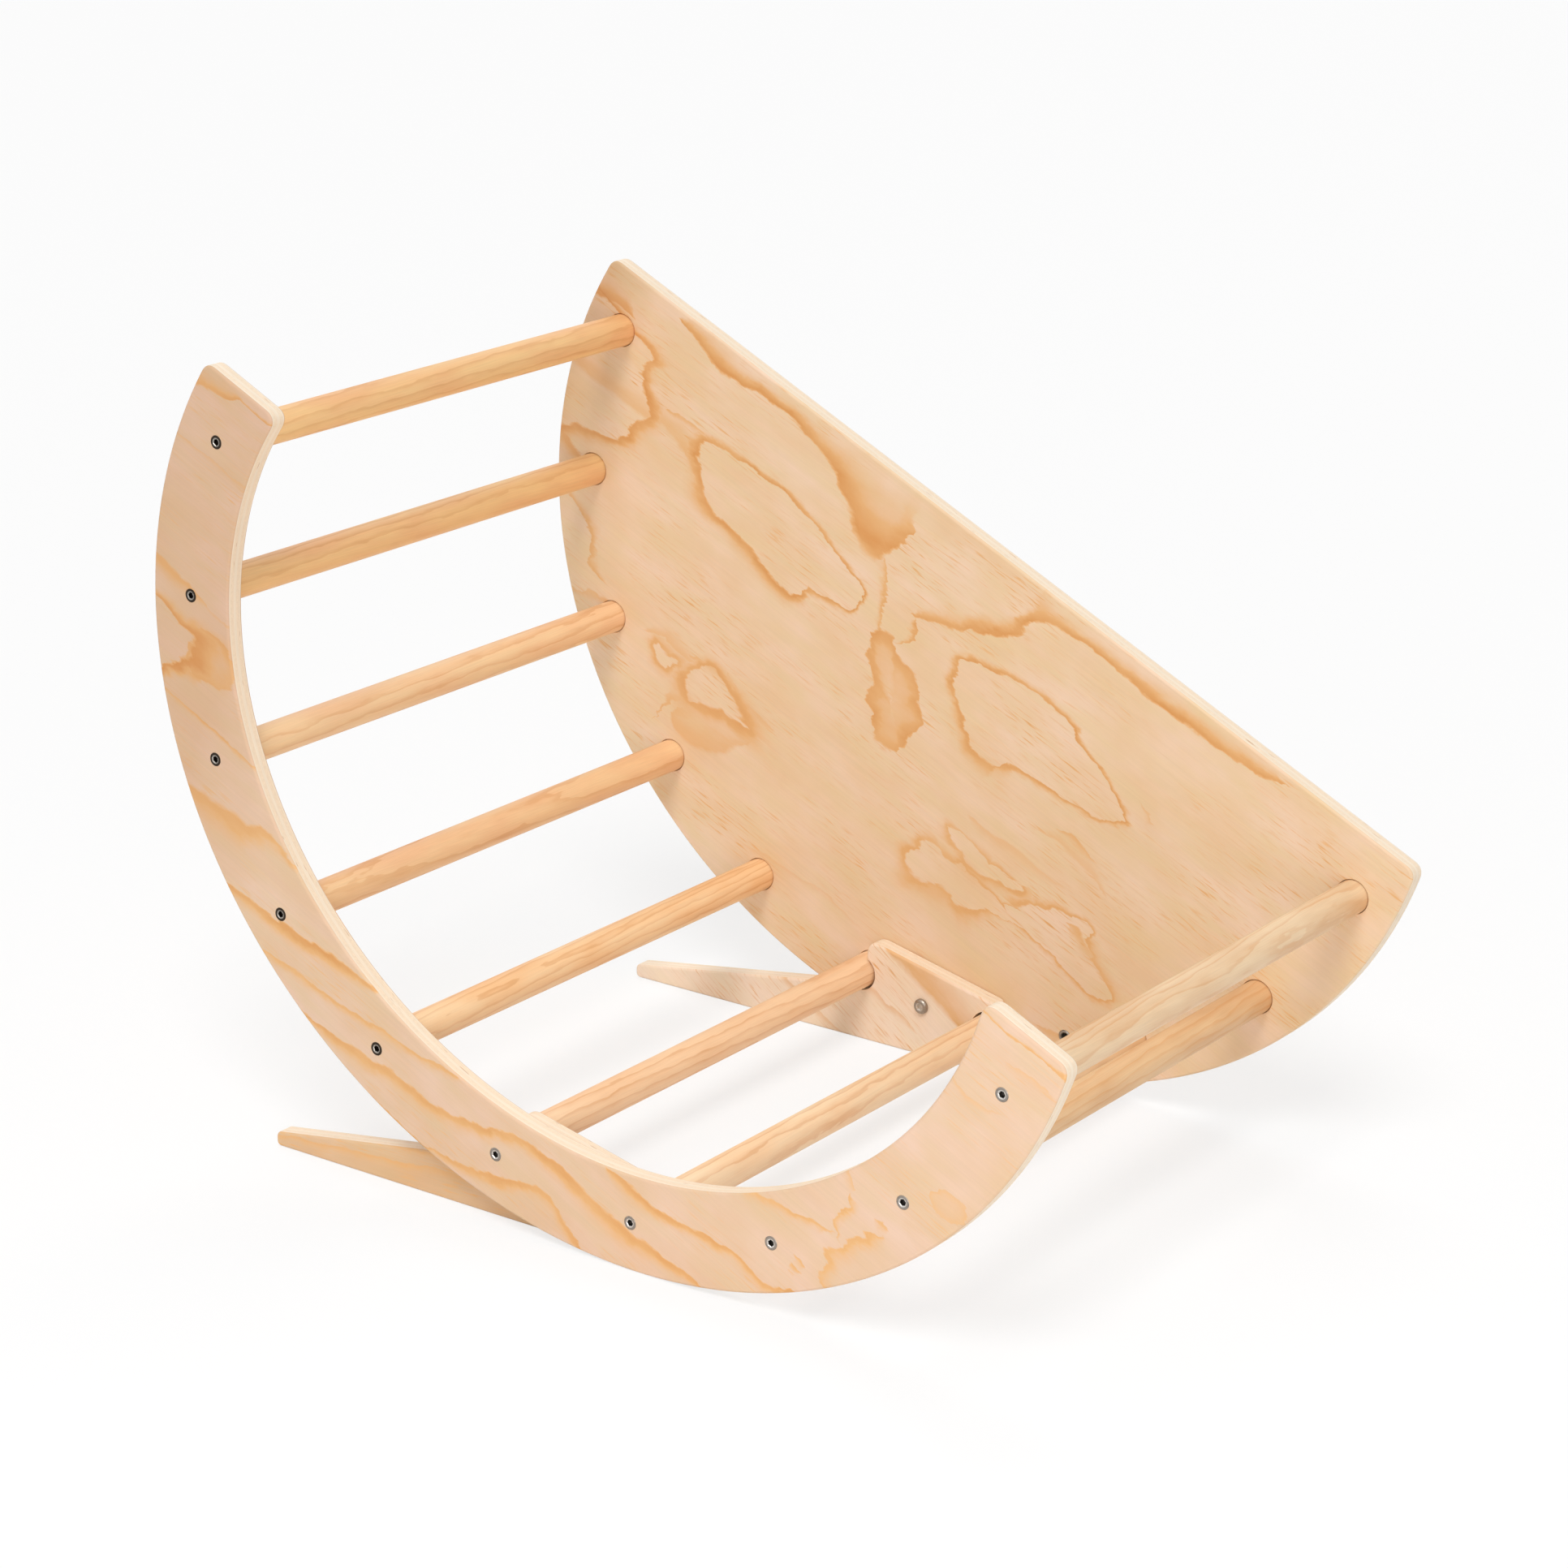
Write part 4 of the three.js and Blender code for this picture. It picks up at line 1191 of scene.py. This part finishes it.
@dataclass(frozen=True)
class SteelFinish:
    """Turned steel of a fastener: painted shade in a screw's key socket, a painted highlight round it, the
    rim.
    """

    name: str
    # heart is painted shade in a screw's socket, glint a painted highlight round it (darker in an insert)
    rim: str
    glint: str
    heart: str
    heart_radius: float = 2.6
    glint_radius: float = 2.9
    rim_radius: float = 3.4
    roughness: float = 0.32

    def material(self) -> Material:
        """Draws the steel by each point's distance from the fastener's axis.

        Returns:
            The steel.
        """
        made = bpy.data.materials.new(self.name)
        put = blank(made)
        across = put("Attribute", attribute_name=AXIS_DISTANCE).outputs["Fac"]
        # Painted shade in a screw's socket, the glint ring round it, then the rim
        out = put("MapRange", {0: across, **span(self.heart_radius - 0.3, self.heart_radius + 0.1)})
        beyond = put("MapRange", {0: across, **span(self.glint_radius, self.rim_radius)})
        coords = put("TexCoord").outputs["Object"]
        smudges = put("TexNoise", {"Vector": coords, "Scale": 900.0, "Detail": 3.0})
        tone = put("MapRange", {0: smudges, **span(0.3, 0.7, 0.86, 1.1)})
        dull = put("MapRange", {0: smudges, **span(0.3, 0.7, self.roughness - 0.06, self.roughness + 0.1)})
        paint = put("Mix RGBA", {0: out, 6: self.heart, 7: self.glint})
        paint = put("Mix RGBA", {0: beyond, 6: paint, 7: self.rim})
        paint = put("VectorMath SCALE", {0: paint, "Scale": tone})
        # Tool marks of the lathe, 0.25 mm apart
        marks = put("Math SINE", {0: put("Math MULTIPLY", {0: across, 1: 25.0})})
        bump = put("Bump", {"Strength": 0.15, "Distance": 0.00003, "Height": marks})
        surface = {"Base Color": paint, "Metallic": 1.0, "Roughness": dull, "Normal": bump}
        put("OutputMaterial", {"Surface": put("BsdfPrincipled", surface)})
        return made


@dataclass
class Setting:
    """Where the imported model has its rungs, bolts and faces, read from the frame."""

    curve: ArchCurve
    shift: float = 0.0

    def __post_init__(self) -> None:
        """Finds how far along X the arch stands, from the first rung, at the raised end of the curve."""
        first = self.curve.at(-math.pi / 2)
        self.shift = self.centre("rung_01").x - self.curve.stand(first, 0.0)[0]

    def centre(self, node: str) -> Vector:
        """Returns the middle of a CAD node's box."""
        low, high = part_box(node)
        return (low + high) / 2

    def rung_places(self) -> list[Point]:
        """Returns the X and Z of every rung's axis."""
        spots = [self.centre(f"rung_{i + 1:02d}") for i in range(self.curve.rung_count)]
        return [(spot.x, spot.z) for spot in spots]

    def stand(self, points: list[Point]) -> list[Point]:
        """Returns points of the ellipse's frame as they stand in the model."""
        return [self.curve.stand(point, self.shift) for point in points]


@dataclass
class SidePlates:
    """The open rail and the full panel, both plywood, with their sockets and screw holes."""

    setting: Setting
    thickness: float = 0.015
    ease: float = 0.0022
    corner_radius: float = 0.010
    rung_radius: float = 0.0125
    socket_depth: float = 0.007
    socket_clearance: float = 0.0005
    mouth_ease: float = 0.0004
    screw_head_radius: float = 0.005
    screw_head_depth: float = 0.0035
    shank_room: float = 0.00305
    seat_gap: float = 0.0003
    insert_radius: float = 0.005
    insert_length: float = 0.012
    overrun: float = 0.001
    socket_sides: int = 56
    hole_sides: int = 40

    def outline(self, runs: tuple[int, ...]) -> list[Point]:
        """Returns a plate's outline.

        Args:
            runs: 1 for the band's outer curve and -1 for its inner one, which the filled panel lacks.

        Returns:
            The outline as it stands in the model.
        """
        corners: list[Point3] = []
        for way in runs:
            curve = self.setting.curve.run(way * self.setting.curve.half_band)[::way]
            ends = (0, len(curve) - 1)
            corners += [(x, z, self.corner_radius if i in ends else 0.0) for i, (x, z) in enumerate(curve)]
        return self.setting.stand(rounded(corners))

    def bore_cutter(self, wide: float, floor: float, mouth: float, sides: int) -> Thing:
        """Makes the cutter of a blind bore with an eased mouth, which opens to +Y.

        Args:
            wide: Radius of the bore.
            floor: Y of its floor.
            mouth: Y of the face that it opens in.
            sides: Number of sides.

        Returns:
            The cutter.
        """
        rim, top = wide + self.mouth_ease, mouth + self.overrun
        profile = [(0, floor), (wide, floor), (wide, mouth - self.mouth_ease), (rim, mouth), (rim, top)]
        return Bench.turning("bore_cutter", [*profile, (0, top)], sides)

    def screw_cutter(self) -> Thing:
        """Makes the cutter of one countersunk hole.

        Returns:
            The cutter, with the hole's mouth at y = 0, to +Y.
        """
        wide = self.screw_head_radius + self.seat_gap
        depth = self.thickness - self.socket_depth + self.overrun
        profile = [
            (0, -depth),
            (self.shank_room, -depth),
            (self.shank_room, -self.screw_head_depth),
            (wide - self.seat_gap, -0.6 * self.seat_gap),
            (wide, 0),
            (wide + self.overrun, self.overrun),
            (0, self.overrun),
        ]
        return Bench.turning("screw_cutter", profile, self.hole_sides)

    def bored(self, plate: Thing, word: str, side: int) -> None:
        """Cuts the sockets, screw holes and insert bores into one plate.

        Args:
            plate: Plate to cut.
            word: The side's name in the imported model.
            side: -1 for the rail and 1 for the panel.
        """
        sockets, holes, bores = [], [], []
        wide, depth = self.rung_radius + self.socket_clearance, self.socket_depth
        for x, z in self.setting.rung_places():
            socket = self.bore_cutter(wide, 0.0, depth, self.socket_sides)
            sockets.append(Bench.place(socket, (x, (INNER_FACE + depth) * side, z), side > 0))
            holes.append(Bench.place(self.screw_cutter(), (x, OUTER_FACE * side, z), side < 0))
        wide, depth = self.insert_radius + self.seat_gap, self.insert_length + self.seat_gap
        for use in ("board", "spare"):
            spot = self.setting.centre(f"{word}_{use}_insert")
            bore = self.bore_cutter(wide, -depth, 0.0, self.hole_sides)
            bores.append(Bench.place(bore, (spot.x, INNER_FACE * side, spot.z), side > 0))
        for cutters in (sockets, holes, bores):
            Bench.cut(plate, cutters)

    def build(self, rail: PlywoodFinish, panel: PlywoodFinish) -> None:
        """Builds and dresses both sides.

        Args:
            rail: Plywood of the open rail.
            panel: Plywood of the full panel.
        """
        for name, node, runs, (word, side), finish in (
            ("side_rail_plywood", "arch_side_rail", (1, -1), SIDES[0], rail),
            ("full_panel_plywood", "full_side_panel", (1,), SIDES[1], panel),
        ):
            faces = sorted((OUTER_FACE * side, INNER_FACE * side))
            plate = Bench.slab(name, self.outline(runs), *faces, self.ease)
            self.bored(plate, word, side)
            Bench.hand_over(plate, node, "plywood", finish.material())


@dataclass
class Rungs:
    """Ten round pine rungs, with eased ends and a pilot hole in each end."""

    setting: Setting
    radius: float = 0.0125
    half_length: float = 0.2267
    end_ease: float = 0.0008
    pilot_radius: float = 0.00305
    pilot_floor: float = 0.1847
    sides: int = 64

    def dowel(self) -> Thing:
        """Turns one rung.

        Returns:
            The rung about the Y axis, its middle at the origin.
        """
        e, r, h = self.end_ease, self.radius, self.half_length
        half = [(0, self.pilot_floor), (self.pilot_radius, self.pilot_floor), (self.pilot_radius, h)]
        half += [(r - e, h), (r - 0.3 * e, h - 0.3 * e), (r, h - e)]
        return Bench.turning("dowel", [(across, -y) for across, y in half] + half[::-1], self.sides)

    def build(self, finishes: list[RungFinish]) -> None:
        """Builds and dresses the rungs.

        Args:
            finishes: Pine of each rung, from the raised end to the low end.
        """
        master = self.dowel()
        for i, ((x, z), finish) in enumerate(zip(self.setting.rung_places(), finishes)):
            rung = Bench.place(Bench.copy(master, f"pine_rung_{i + 1:02d}"), (x, 0, z))
            Bench.hand_over(rung, f"rung_{i + 1:02d}", "rung_pine", finish.material())
        bpy.data.objects.remove(master)


@dataclass
class Screws:
    """Countersunk screws with a hexagonal key socket, one in each end of each rung."""

    setting: Setting
    head_radius: float = 0.005
    head_depth: float = 0.0035
    rim_ease: float = 0.0004
    shank_radius: float = 0.00275
    root_radius: float = 0.0021
    length: float = 0.050
    tip_length: float = 0.004
    thread_start: float = 0.012
    thread_pitch: float = 0.0022
    key_across: float = 0.004
    key_depth: float = 0.0025
    sides: int = 32
    raised_count: int = 5
    turn: float = math.radians(37)
    side_turn: float = math.radians(11)

    def screw(self) -> Thing:
        """Turns one screw and cuts its key socket.

        Returns:
            The screw, its head's flat face at y = 0 and its point below.
        """
        y, pitch, ease = self.tip_length - self.length, self.thread_pitch, self.rim_ease
        profile: list[Point] = [(0, -self.length), (self.root_radius, y)]
        while y + pitch < -self.thread_start:
            profile += [(self.shank_radius, y + 0.5 * pitch), (self.root_radius, y + 0.85 * pitch)]
            y += pitch
        profile += [(self.shank_radius, -self.thread_start), (self.shank_radius, -self.head_depth)]
        rim = self.head_radius - 0.3 * ease
        profile += [(rim, -ease), (rim, -0.5 * ease), (self.head_radius - ease, 0)]
        made = Bench.turning("screw", [*profile, (0, 0)], self.sides)
        Bench.cut(made, [Bench.key_cutter(self.key_across, 0.0, self.key_depth)])
        return Bench.mark_axis_distance(made)

    def build(self, raised: SteelFinish, low: SteelFinish) -> None:
        """Builds and dresses all the screws.

        Args:
            raised: Steel with a dark painted reflection, for the screws of the first rungs, towards the
                raised end.
            low: The same steel with a bright painted reflection, for the others.
        """
        master = self.screw()
        steels = [raised.material(), low.material()]
        for i, (x, z) in enumerate(self.setting.rung_places()):
            for word, side in SIDES:
                # Each screw came to rest at another turn
                turn = self.turn * i + self.side_turn * side
                screw = Bench.copy(master, f"{word}_socket_screw_{i + 1:02d}")
                Bench.place(screw, (x, OUTER_FACE * side, z), side < 0, turn)
                # Painted reflection: the first rungs' screws get the dark copy of the steel, the others the
                # bright one
                steel = steels[i // self.raised_count]
                Bench.hand_over(screw, f"{word}_screw_{i + 1:02d}", "screw_steel", steel)
        bpy.data.objects.remove(master)


@dataclass
class StabiliserBoards:
    """Two wedge-shaped boards that stand on the floor and hug two neighbouring rungs."""

    setting: Setting
    left_rung: int = 5
    thickness: float = 0.015
    ease: float = 0.0022
    outer_face: float = 0.2197
    reach: float = 0.335
    tip_height: float = 0.0105
    tip_radius: float = 0.0045
    tail_drop: float = 0.010
    head_inset: float = 0.006
    head_rise_left: float = 0.030
    head_rise_right: float = 0.023
    head_radius: float = 0.011
    nose_reach: float = 0.006
    nose_radius: float = 0.004
    toe_radius: float = 0.006
    notch_radius: float = 0.0143
    bolt_hole_radius: float = 0.0033
    notch_sides: int = 72
    hole_sides: int = 40

    def hugged(self) -> list[Point]:
        """Returns the X and Z of the two rungs in the board's notches."""
        return self.setting.rung_places()[self.left_rung : self.left_rung + 2]

    def outline(self) -> list[Point]:
        """Draws the wedge before its notches are cut.

        Returns:
            Its outline in X and Z.
        """
        (left_x, left_z), (right_x, right_z) = self.hugged()
        tip_x, head_x, nose_x = right_x - self.reach, left_x + self.head_inset, right_x + self.nose_reach
        tail_slope = (left_z - self.tail_drop - self.tip_height) / (left_x - tip_x)
        top_left = left_z + self.head_rise_left
        top_slope = (right_z + self.head_rise_right - left_z - self.head_rise_left) / (right_x - left_x)
        return rounded(
            [
                (tip_x, 0, self.tip_radius),
                (right_x, 0, self.toe_radius),
                (nose_x, right_z, 0),
                (nose_x, top_left + top_slope * (nose_x - left_x), self.nose_radius),
                (head_x, top_left + top_slope * (head_x - left_x), self.head_radius),
                (head_x, self.tip_height + tail_slope * (head_x - tip_x), 0),
                (tip_x, self.tip_height, self.tip_radius),
            ]
        )

    def bar(self, radius: float, spot: Point, sides: int) -> Thing:
        """Makes a cutter through the board.

        Args:
            radius: Radius of the hole or notch.
            spot: X and Z of its axis.
            sides: Number of sides.

        Returns:
            The cutter.
        """
        # It stands proud of both faces by a quarter of the thickness
        half = 0.75 * self.thickness
        profile = [(0, -half), (radius, -half), (radius, half), (0, half)]
        cutter = Bench.turning("board_cutter", profile, sides)
        return Bench.place(cutter, (spot[0], self.outer_face - self.thickness / 2, spot[1]))

    def build(self, finishes: dict[str, PlywoodFinish]) -> None:
        """Builds and dresses both boards.

        Args:
            finishes: Plywood of the board at each side, by the side's name.
        """
        bolt = self.setting.centre("panel_board_bolt")
        faces = (self.outer_face - self.thickness, self.outer_face)
        board = Bench.slab("board", self.outline(), *faces, self.ease)
        Bench.cut(board, [self.bar(self.notch_radius, spot, self.notch_sides) for spot in self.hugged()])
        Bench.cut(board, [self.bar(self.bolt_hole_radius, (bolt.x, bolt.z), self.hole_sides)])
        for word, move in (("panel", 0.0), ("rail", self.thickness - 2 * self.outer_face)):
            piece = Bench.place(Bench.copy(board, f"{word}_board_plywood"), (0, move, 0))
            Bench.hand_over(piece, f"{word}_stabiliser_board", "plywood", finishes[word].material())
        bpy.data.objects.remove(board)


@dataclass
class BoardFixings:
    """Button-head bolts of the boards and the threaded inserts in both sides."""

    setting: Setting
    seat: float = 0.2044
    head_radius: float = 0.006
    head_height: float = 0.0033
    rim_height: float = 0.001
    rim_ease: float = 0.0003
    flat_radius: float = 0.0032
    shank_radius: float = 0.0028
    root_radius: float = 0.0024
    plain_length: float = 0.004
    length: float = 0.025
    thread_pitch: float = 0.0012
    key_across: float = 0.004
    key_depth: float = 0.002
    insert_radius: float = 0.005
    insert_length: float = 0.012
    bore_radius: float = 0.0031
    bore_thread: float = 0.0004
    outer_thread: float = 0.0006
    flutes: int = 6
    dome_steps: int = 8
    sides: int = 40
    bolt_turn: float = math.radians(20)

    def bolt(self) -> Thing:
        """Turns one bolt and cuts its key socket.

        Returns:
            The bolt, with the underside of its head at y = 0.
        """
        r, h, rim, pitch = self.head_radius, self.head_height, self.rim_height, self.thread_pitch
        profile: list[Point] = [(0, -self.length), (self.root_radius, -self.length)]
        y = -self.length
        while y + pitch < -self.plain_length:
            profile += [(self.shank_radius, y + 0.5 * pitch), (self.root_radius, y + pitch)]
            y += pitch
        profile += [(self.shank_radius, y + 0.5 * pitch), (self.shank_radius, 0)]
        profile += [(r - self.rim_ease, 0), (r, self.rim_ease), (r, rim)]
        for k in range(1, self.dome_steps + 1):
            turn = math.pi / 2 * k / self.dome_steps
            across = self.flat_radius + (r - self.flat_radius) * math.cos(turn)
            profile.append((across, rim + (h - rim) * math.sin(turn)))
        made = Bench.turning("bolt", [*profile, (0, h)], self.sides)
        Bench.cut(made, [Bench.key_cutter(self.key_across, h, self.key_depth)])
        return Bench.mark_axis_distance(made)

    def insert(self) -> Thing:
        """Turns one insert, threaded inside and outside.

        Returns:
            The insert, with its open face at y = 0.
        """
        r, bore, length = self.insert_radius, self.bore_radius, self.insert_length
        valley, root, pitch = bore + self.bore_thread, r - self.outer_thread, length / self.flutes
        profile: list[Point] = [(valley, 0)]
        for k in range(self.flutes):
            profile += [(bore, -(k + 0.25) * pitch), (valley, -(k + 0.75) * pitch)]
        profile += [(valley, -length), (root, -length)]
        for k in range(self.flutes - 1, 0, -1):
            profile += [(root, -(k + 0.75) * pitch), (r, -(k + 0.25) * pitch)]
        profile += [(root, -0.6 * pitch), (r, -0.4 * pitch), (r, -self.rim_ease), (r - self.rim_ease, 0)]
        return Bench.mark_axis_distance(Bench.turning("insert", [*profile, profile[0]], self.sides))

    def build(self, bolt_finish: SteelFinish, insert_finish: SteelFinish) -> None:
        """Builds and dresses the bolts and inserts.

        Args:
            bolt_finish: Steel of the bolts.
            insert_finish: Zinc-plated steel of the inserts.
        """
        masters = {"bolt": self.bolt(), "insert": self.insert()}
        steel, zinc = bolt_finish.material(), insert_finish.material()
        for word, side in SIDES:
            for kind, node, name, face, turn, slot, metal in (
                ("bolt", "board_bolt", "button_bolt", self.seat, self.bolt_turn, "bolt_steel", steel),
                ("insert", "board_insert", "board_threaded_insert", INNER_FACE, 0, "insert_zinc", zinc),
                ("insert", "spare_insert", "spare_threaded_insert", INNER_FACE, 0, "insert_zinc", zinc),
            ):
                spot = self.setting.centre(f"{word}_{node}")
                piece = Bench.copy(masters[kind], f"{word}_{name}")
                Bench.place(piece, (spot.x, face * side, spot.z), side > 0, turn * side)
                Bench.hand_over(piece, f"{word}_{node}", slot, metal)
        for master in masters.values():
            bpy.data.objects.remove(master)


@dataclass
class Studio:
    """Plain pale floor, soft lamps and a camera at the photograph's angle."""

    aim: Point3 = (0.0266, -0.0099, 0.4037)
    azimuth: float = math.radians(35.279)
    elevation: float = math.radians(16.378)
    roll: float = math.radians(0.713)
    distance: float = 3.0073
    lens: float = 99.432
    sensor_width: float = 36.0
    clip_end: float = 200.0
    shift: Point = (-0.0176, -0.1035)
    floor_size: float = 60.0
    floor_white: float = 0.93
    floor_glow: float = 0.7
    world_light: float = 0.40

    def camera(self) -> None:
        """Adds the camera and makes it the scene's own."""
        parts = ((self.azimuth, "Z"), (math.pi / 2 - self.elevation, "X"), (self.roll, "Z"))
        azimuth, tip, roll = (Matrix.Rotation(angle, 4, axis) for angle, axis in parts)
        turn = azimuth @ tip @ roll
        spot = Vector(self.aim) + turn.to_3x3() @ Vector((0, 0, 1)) * self.distance
        camera = Bench.start(bpy.ops.object.camera_add, "Camera", location=spot, rotation=turn.to_euler())
        camera.data.sensor_width = self.sensor_width
        camera.data.lens = self.lens
        camera.data.shift_x, camera.data.shift_y = self.shift
        camera.data.clip_end = self.clip_end
        bpy.context.scene.camera = camera

    def floor(self) -> None:
        """Adds the floor, which shows white to the camera and keeps a light shadow."""
        floor = Bench.start(bpy.ops.mesh.primitive_plane_add, "studio_floor", size=self.floor_size)
        material = bpy.data.materials.new("white_studio_floor")
        put = blank(material)
        paint = put("BsdfDiffuse", {"Color": (*[self.floor_white] * 3, 1), "Roughness": 0.5})
        glow = put("Emission", {"Color": (1, 1, 1, 1), "Strength": 1.0})
        seen = put("LightPath").outputs["Is Camera Ray"]
        share = put("Math MULTIPLY", {0: seen, 1: self.floor_glow})
        put("OutputMaterial", {"Surface": put("MixShader", {0: share, 1: paint, 2: glow})})
        floor.data.materials.append(material)

    def world(self) -> None:
        """Gives the world an even light, which is white where it is seen, mirrored or looked through."""
        world = bpy.data.worlds.new("white_studio_world")
        bpy.context.scene.world = world
        put = blank(world)
        rays = put("LightPath").outputs
        seen = put("Math MAXIMUM", {0: rays["Is Camera Ray"], 1: rays["Is Glossy Ray"]})
        clear = put("Math MAXIMUM", {0: seen, 1: rays["Is Transmission Ray"]})
        level = put("MapRange", {0: clear, **span(0.0, 1.0, self.world_light, 1.0)})
        sky = put("Background", {"Color": (1, 1, 1, 1), "Strength": level})
        put("OutputWorld", {"Surface": sky})

    def lamp(self, name: str, kind: str, spot: Point3, height: float, **settings: float) -> Thing:
        """Adds a lamp that looks at the model's axis.

        Args:
            name: Name of the lamp.
            kind: SUN for an even light over the whole floor, or AREA for a square.
            spot: Side that the light comes from.
            height: Height that the lamp looks at.
            **settings: Its strength, and how wide it is.

        Returns:
            The lamp.
        """
        turn = (Vector((0, 0, height)) - Vector(spot)).to_track_quat("-Z", "Y").to_euler()
        lamp = Bench.start(bpy.ops.object.light_add, name, type=kind, location=spot, rotation=turn)
        for setting, value in settings.items():
            setattr(lamp.data, setting, value)
        return lamp

    def build(self) -> None:
        """Builds the floor, the world, the lamps and the camera."""
        self.floor()
        self.world()
        self.lamp("key_lamp", "SUN", (0.9, -1.9, 3.1), 0.0, angle=math.radians(26), energy=1.35)
        self.lamp("back_lamp", "SUN", (-1.2, 1.6, 3.2), 0.0, angle=math.radians(30), energy=0.68)
        self.lamp("left_lamp", "SUN", (-2.4, -2.2, 1.4), 0.0, angle=math.radians(70), energy=0.1)
        softbox = self.lamp("low_softbox", "AREA", (1.1, -1.5, 0.45), 0.28, size=0.8, energy=7.5)
        # Only its light is wanted in the views from behind, not its own white square
        softbox.visible_camera = False
        self.camera()
        bpy.context.scene.view_settings.view_transform = "Standard"
        LOG.info("built the studio")


# Lean of the rungs' grain from their axes, in radians
RUNG_LEAN: Point = (0.022, 0.016)
# Pith beside each rung, spacing of its years, waves of its grain, its light and its warm tone
RUNG_PINES: tuple[tuple[Point, float, float, str, str], ...] = (
    ((9, -16), 7.0, 1.5, "#FACE91", "#F5BC84"),
    ((-14, 12), 6.0, 1.2, "#FBCF93", "#F6C08A"),
    ((5, 30), 9.0, 2.6, "#FCDAAC", "#FACDA0"),
    ((-10, -14), 7.0, 2.2, "#F9D2A2", "#F5C496"),
    ((6, 9), 5.0, 1.8, "#FFDEB2", "#FACA96"),
    ((18, -22), 6.5, 1.4, "#FFDCB5", "#FAD0A6"),
    ((-9, 8), 6.5, 1.2, "#FFE6C2", "#FDD8AE"),
    ((12, 24), 6.0, 1.6, "#F3CB9E", "#E8B989"),
    ((15, -10), 6.0, 1.8, "#EDC798", "#E0B282"),
    ((-7, 6), 5.0, 3.2, "#F3D5AE", "#E8C196"),
)


def rung_finishes(setting: Setting) -> list[RungFinish]:
    """Chooses the pine of each rung.

    Args:
        setting: Where the rungs are.

    Returns:
        A finish for each rung, from the raised end to the low end.
    """
    finishes = []
    for i, (axis, (pith, spacing, wave, light, warm)) in enumerate(zip(setting.rung_places(), RUNG_PINES)):
        # The grain leans to the other side on every second rung
        lean = (RUNG_LEAN[0] * (-1) ** i, RUNG_LEAN[1])
        finishes.append(RungFinish(f"turned_pine_{i + 1:02d}", axis, pith, spacing, lean, wave, light, warm))
    return finishes


def main() -> None:
    """Builds every sub-assembly in order."""
    logging.basicConfig(level=logging.INFO, format="%(name)s: %(message)s")
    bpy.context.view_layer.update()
    setting = Setting(ArchCurve())
    Studio().build()
    SidePlates(setting).build(
        # Both sides carry painted shade towards their raised end: the rail over a broad band, the panel
        # along its very end
        PlywoodFinish(
            "rail_pine_plywood", RAIL_MARKS, -setting.curve.tilt, (151.33, 235.0, -11.58), streaks=0.42,
            tan="#F3ECE6", painted_shade_darkest_x=-290.0, painted_shade_gone_x=-200.0,
        ),
        PlywoodFinish(
            "panel_pine_plywood", PANEL_MARKS, -setting.curve.tilt, (151.33, -220.0, -11.58),
            face_light="#F2D3B6", face_warm="#ECC9A0", face_yellow="#EACEA0",
            tan="#EADFD6", painted_shade_darkest_x=-392.0, painted_shade_gone_x=-345.0,
        ),
    )
    Rungs(setting).build(rung_finishes(setting))
    Screws(setting).build(
        # One steel in two copies, with a dark and a bright painted reflection
        SteelFinish("dark_reflection_screw_steel", "#40372F", "#ABA59D", "#3A332E"),
        SteelFinish("bright_reflection_screw_steel", "#9C948C", "#DEDAD4", "#4A4642"),
    )
    rail_board = PlywoodFinish(
        "rail_board_plywood", RAIL_BOARD_MARKS, 0.0, (0.0, 219.7, 0.0),
        face_light="#E6C29C", face_warm="#E0B78C", face_yellow="#DFBC8E",
    )
    panel_board = PlywoodFinish(
        "panel_board_plywood", PANEL_BOARD_MARKS, math.radians(-37), (0.0, -204.7, 0.0),
        face_light="#FCE5D0", face_warm="#F9DEC3", face_yellow="#F6E1C2",
    )
    StabiliserBoards(setting).build({"rail": rail_board, "panel": panel_board})
    BoardFixings(setting).build(
        # The bolt steel carries a painted highlight in and round its key socket
        SteelFinish("bright_bolt_steel", "#A3988C", "#D0C8BE", "#6A6058", 1.6, 2.6, 3.8),
        SteelFinish("zinc_plated_steel", "#A39D94", "#8A847A", "#5A544C", 2.6, 3.4, 4.2, 0.45),
    )


if __name__ == "__main__":
    main()
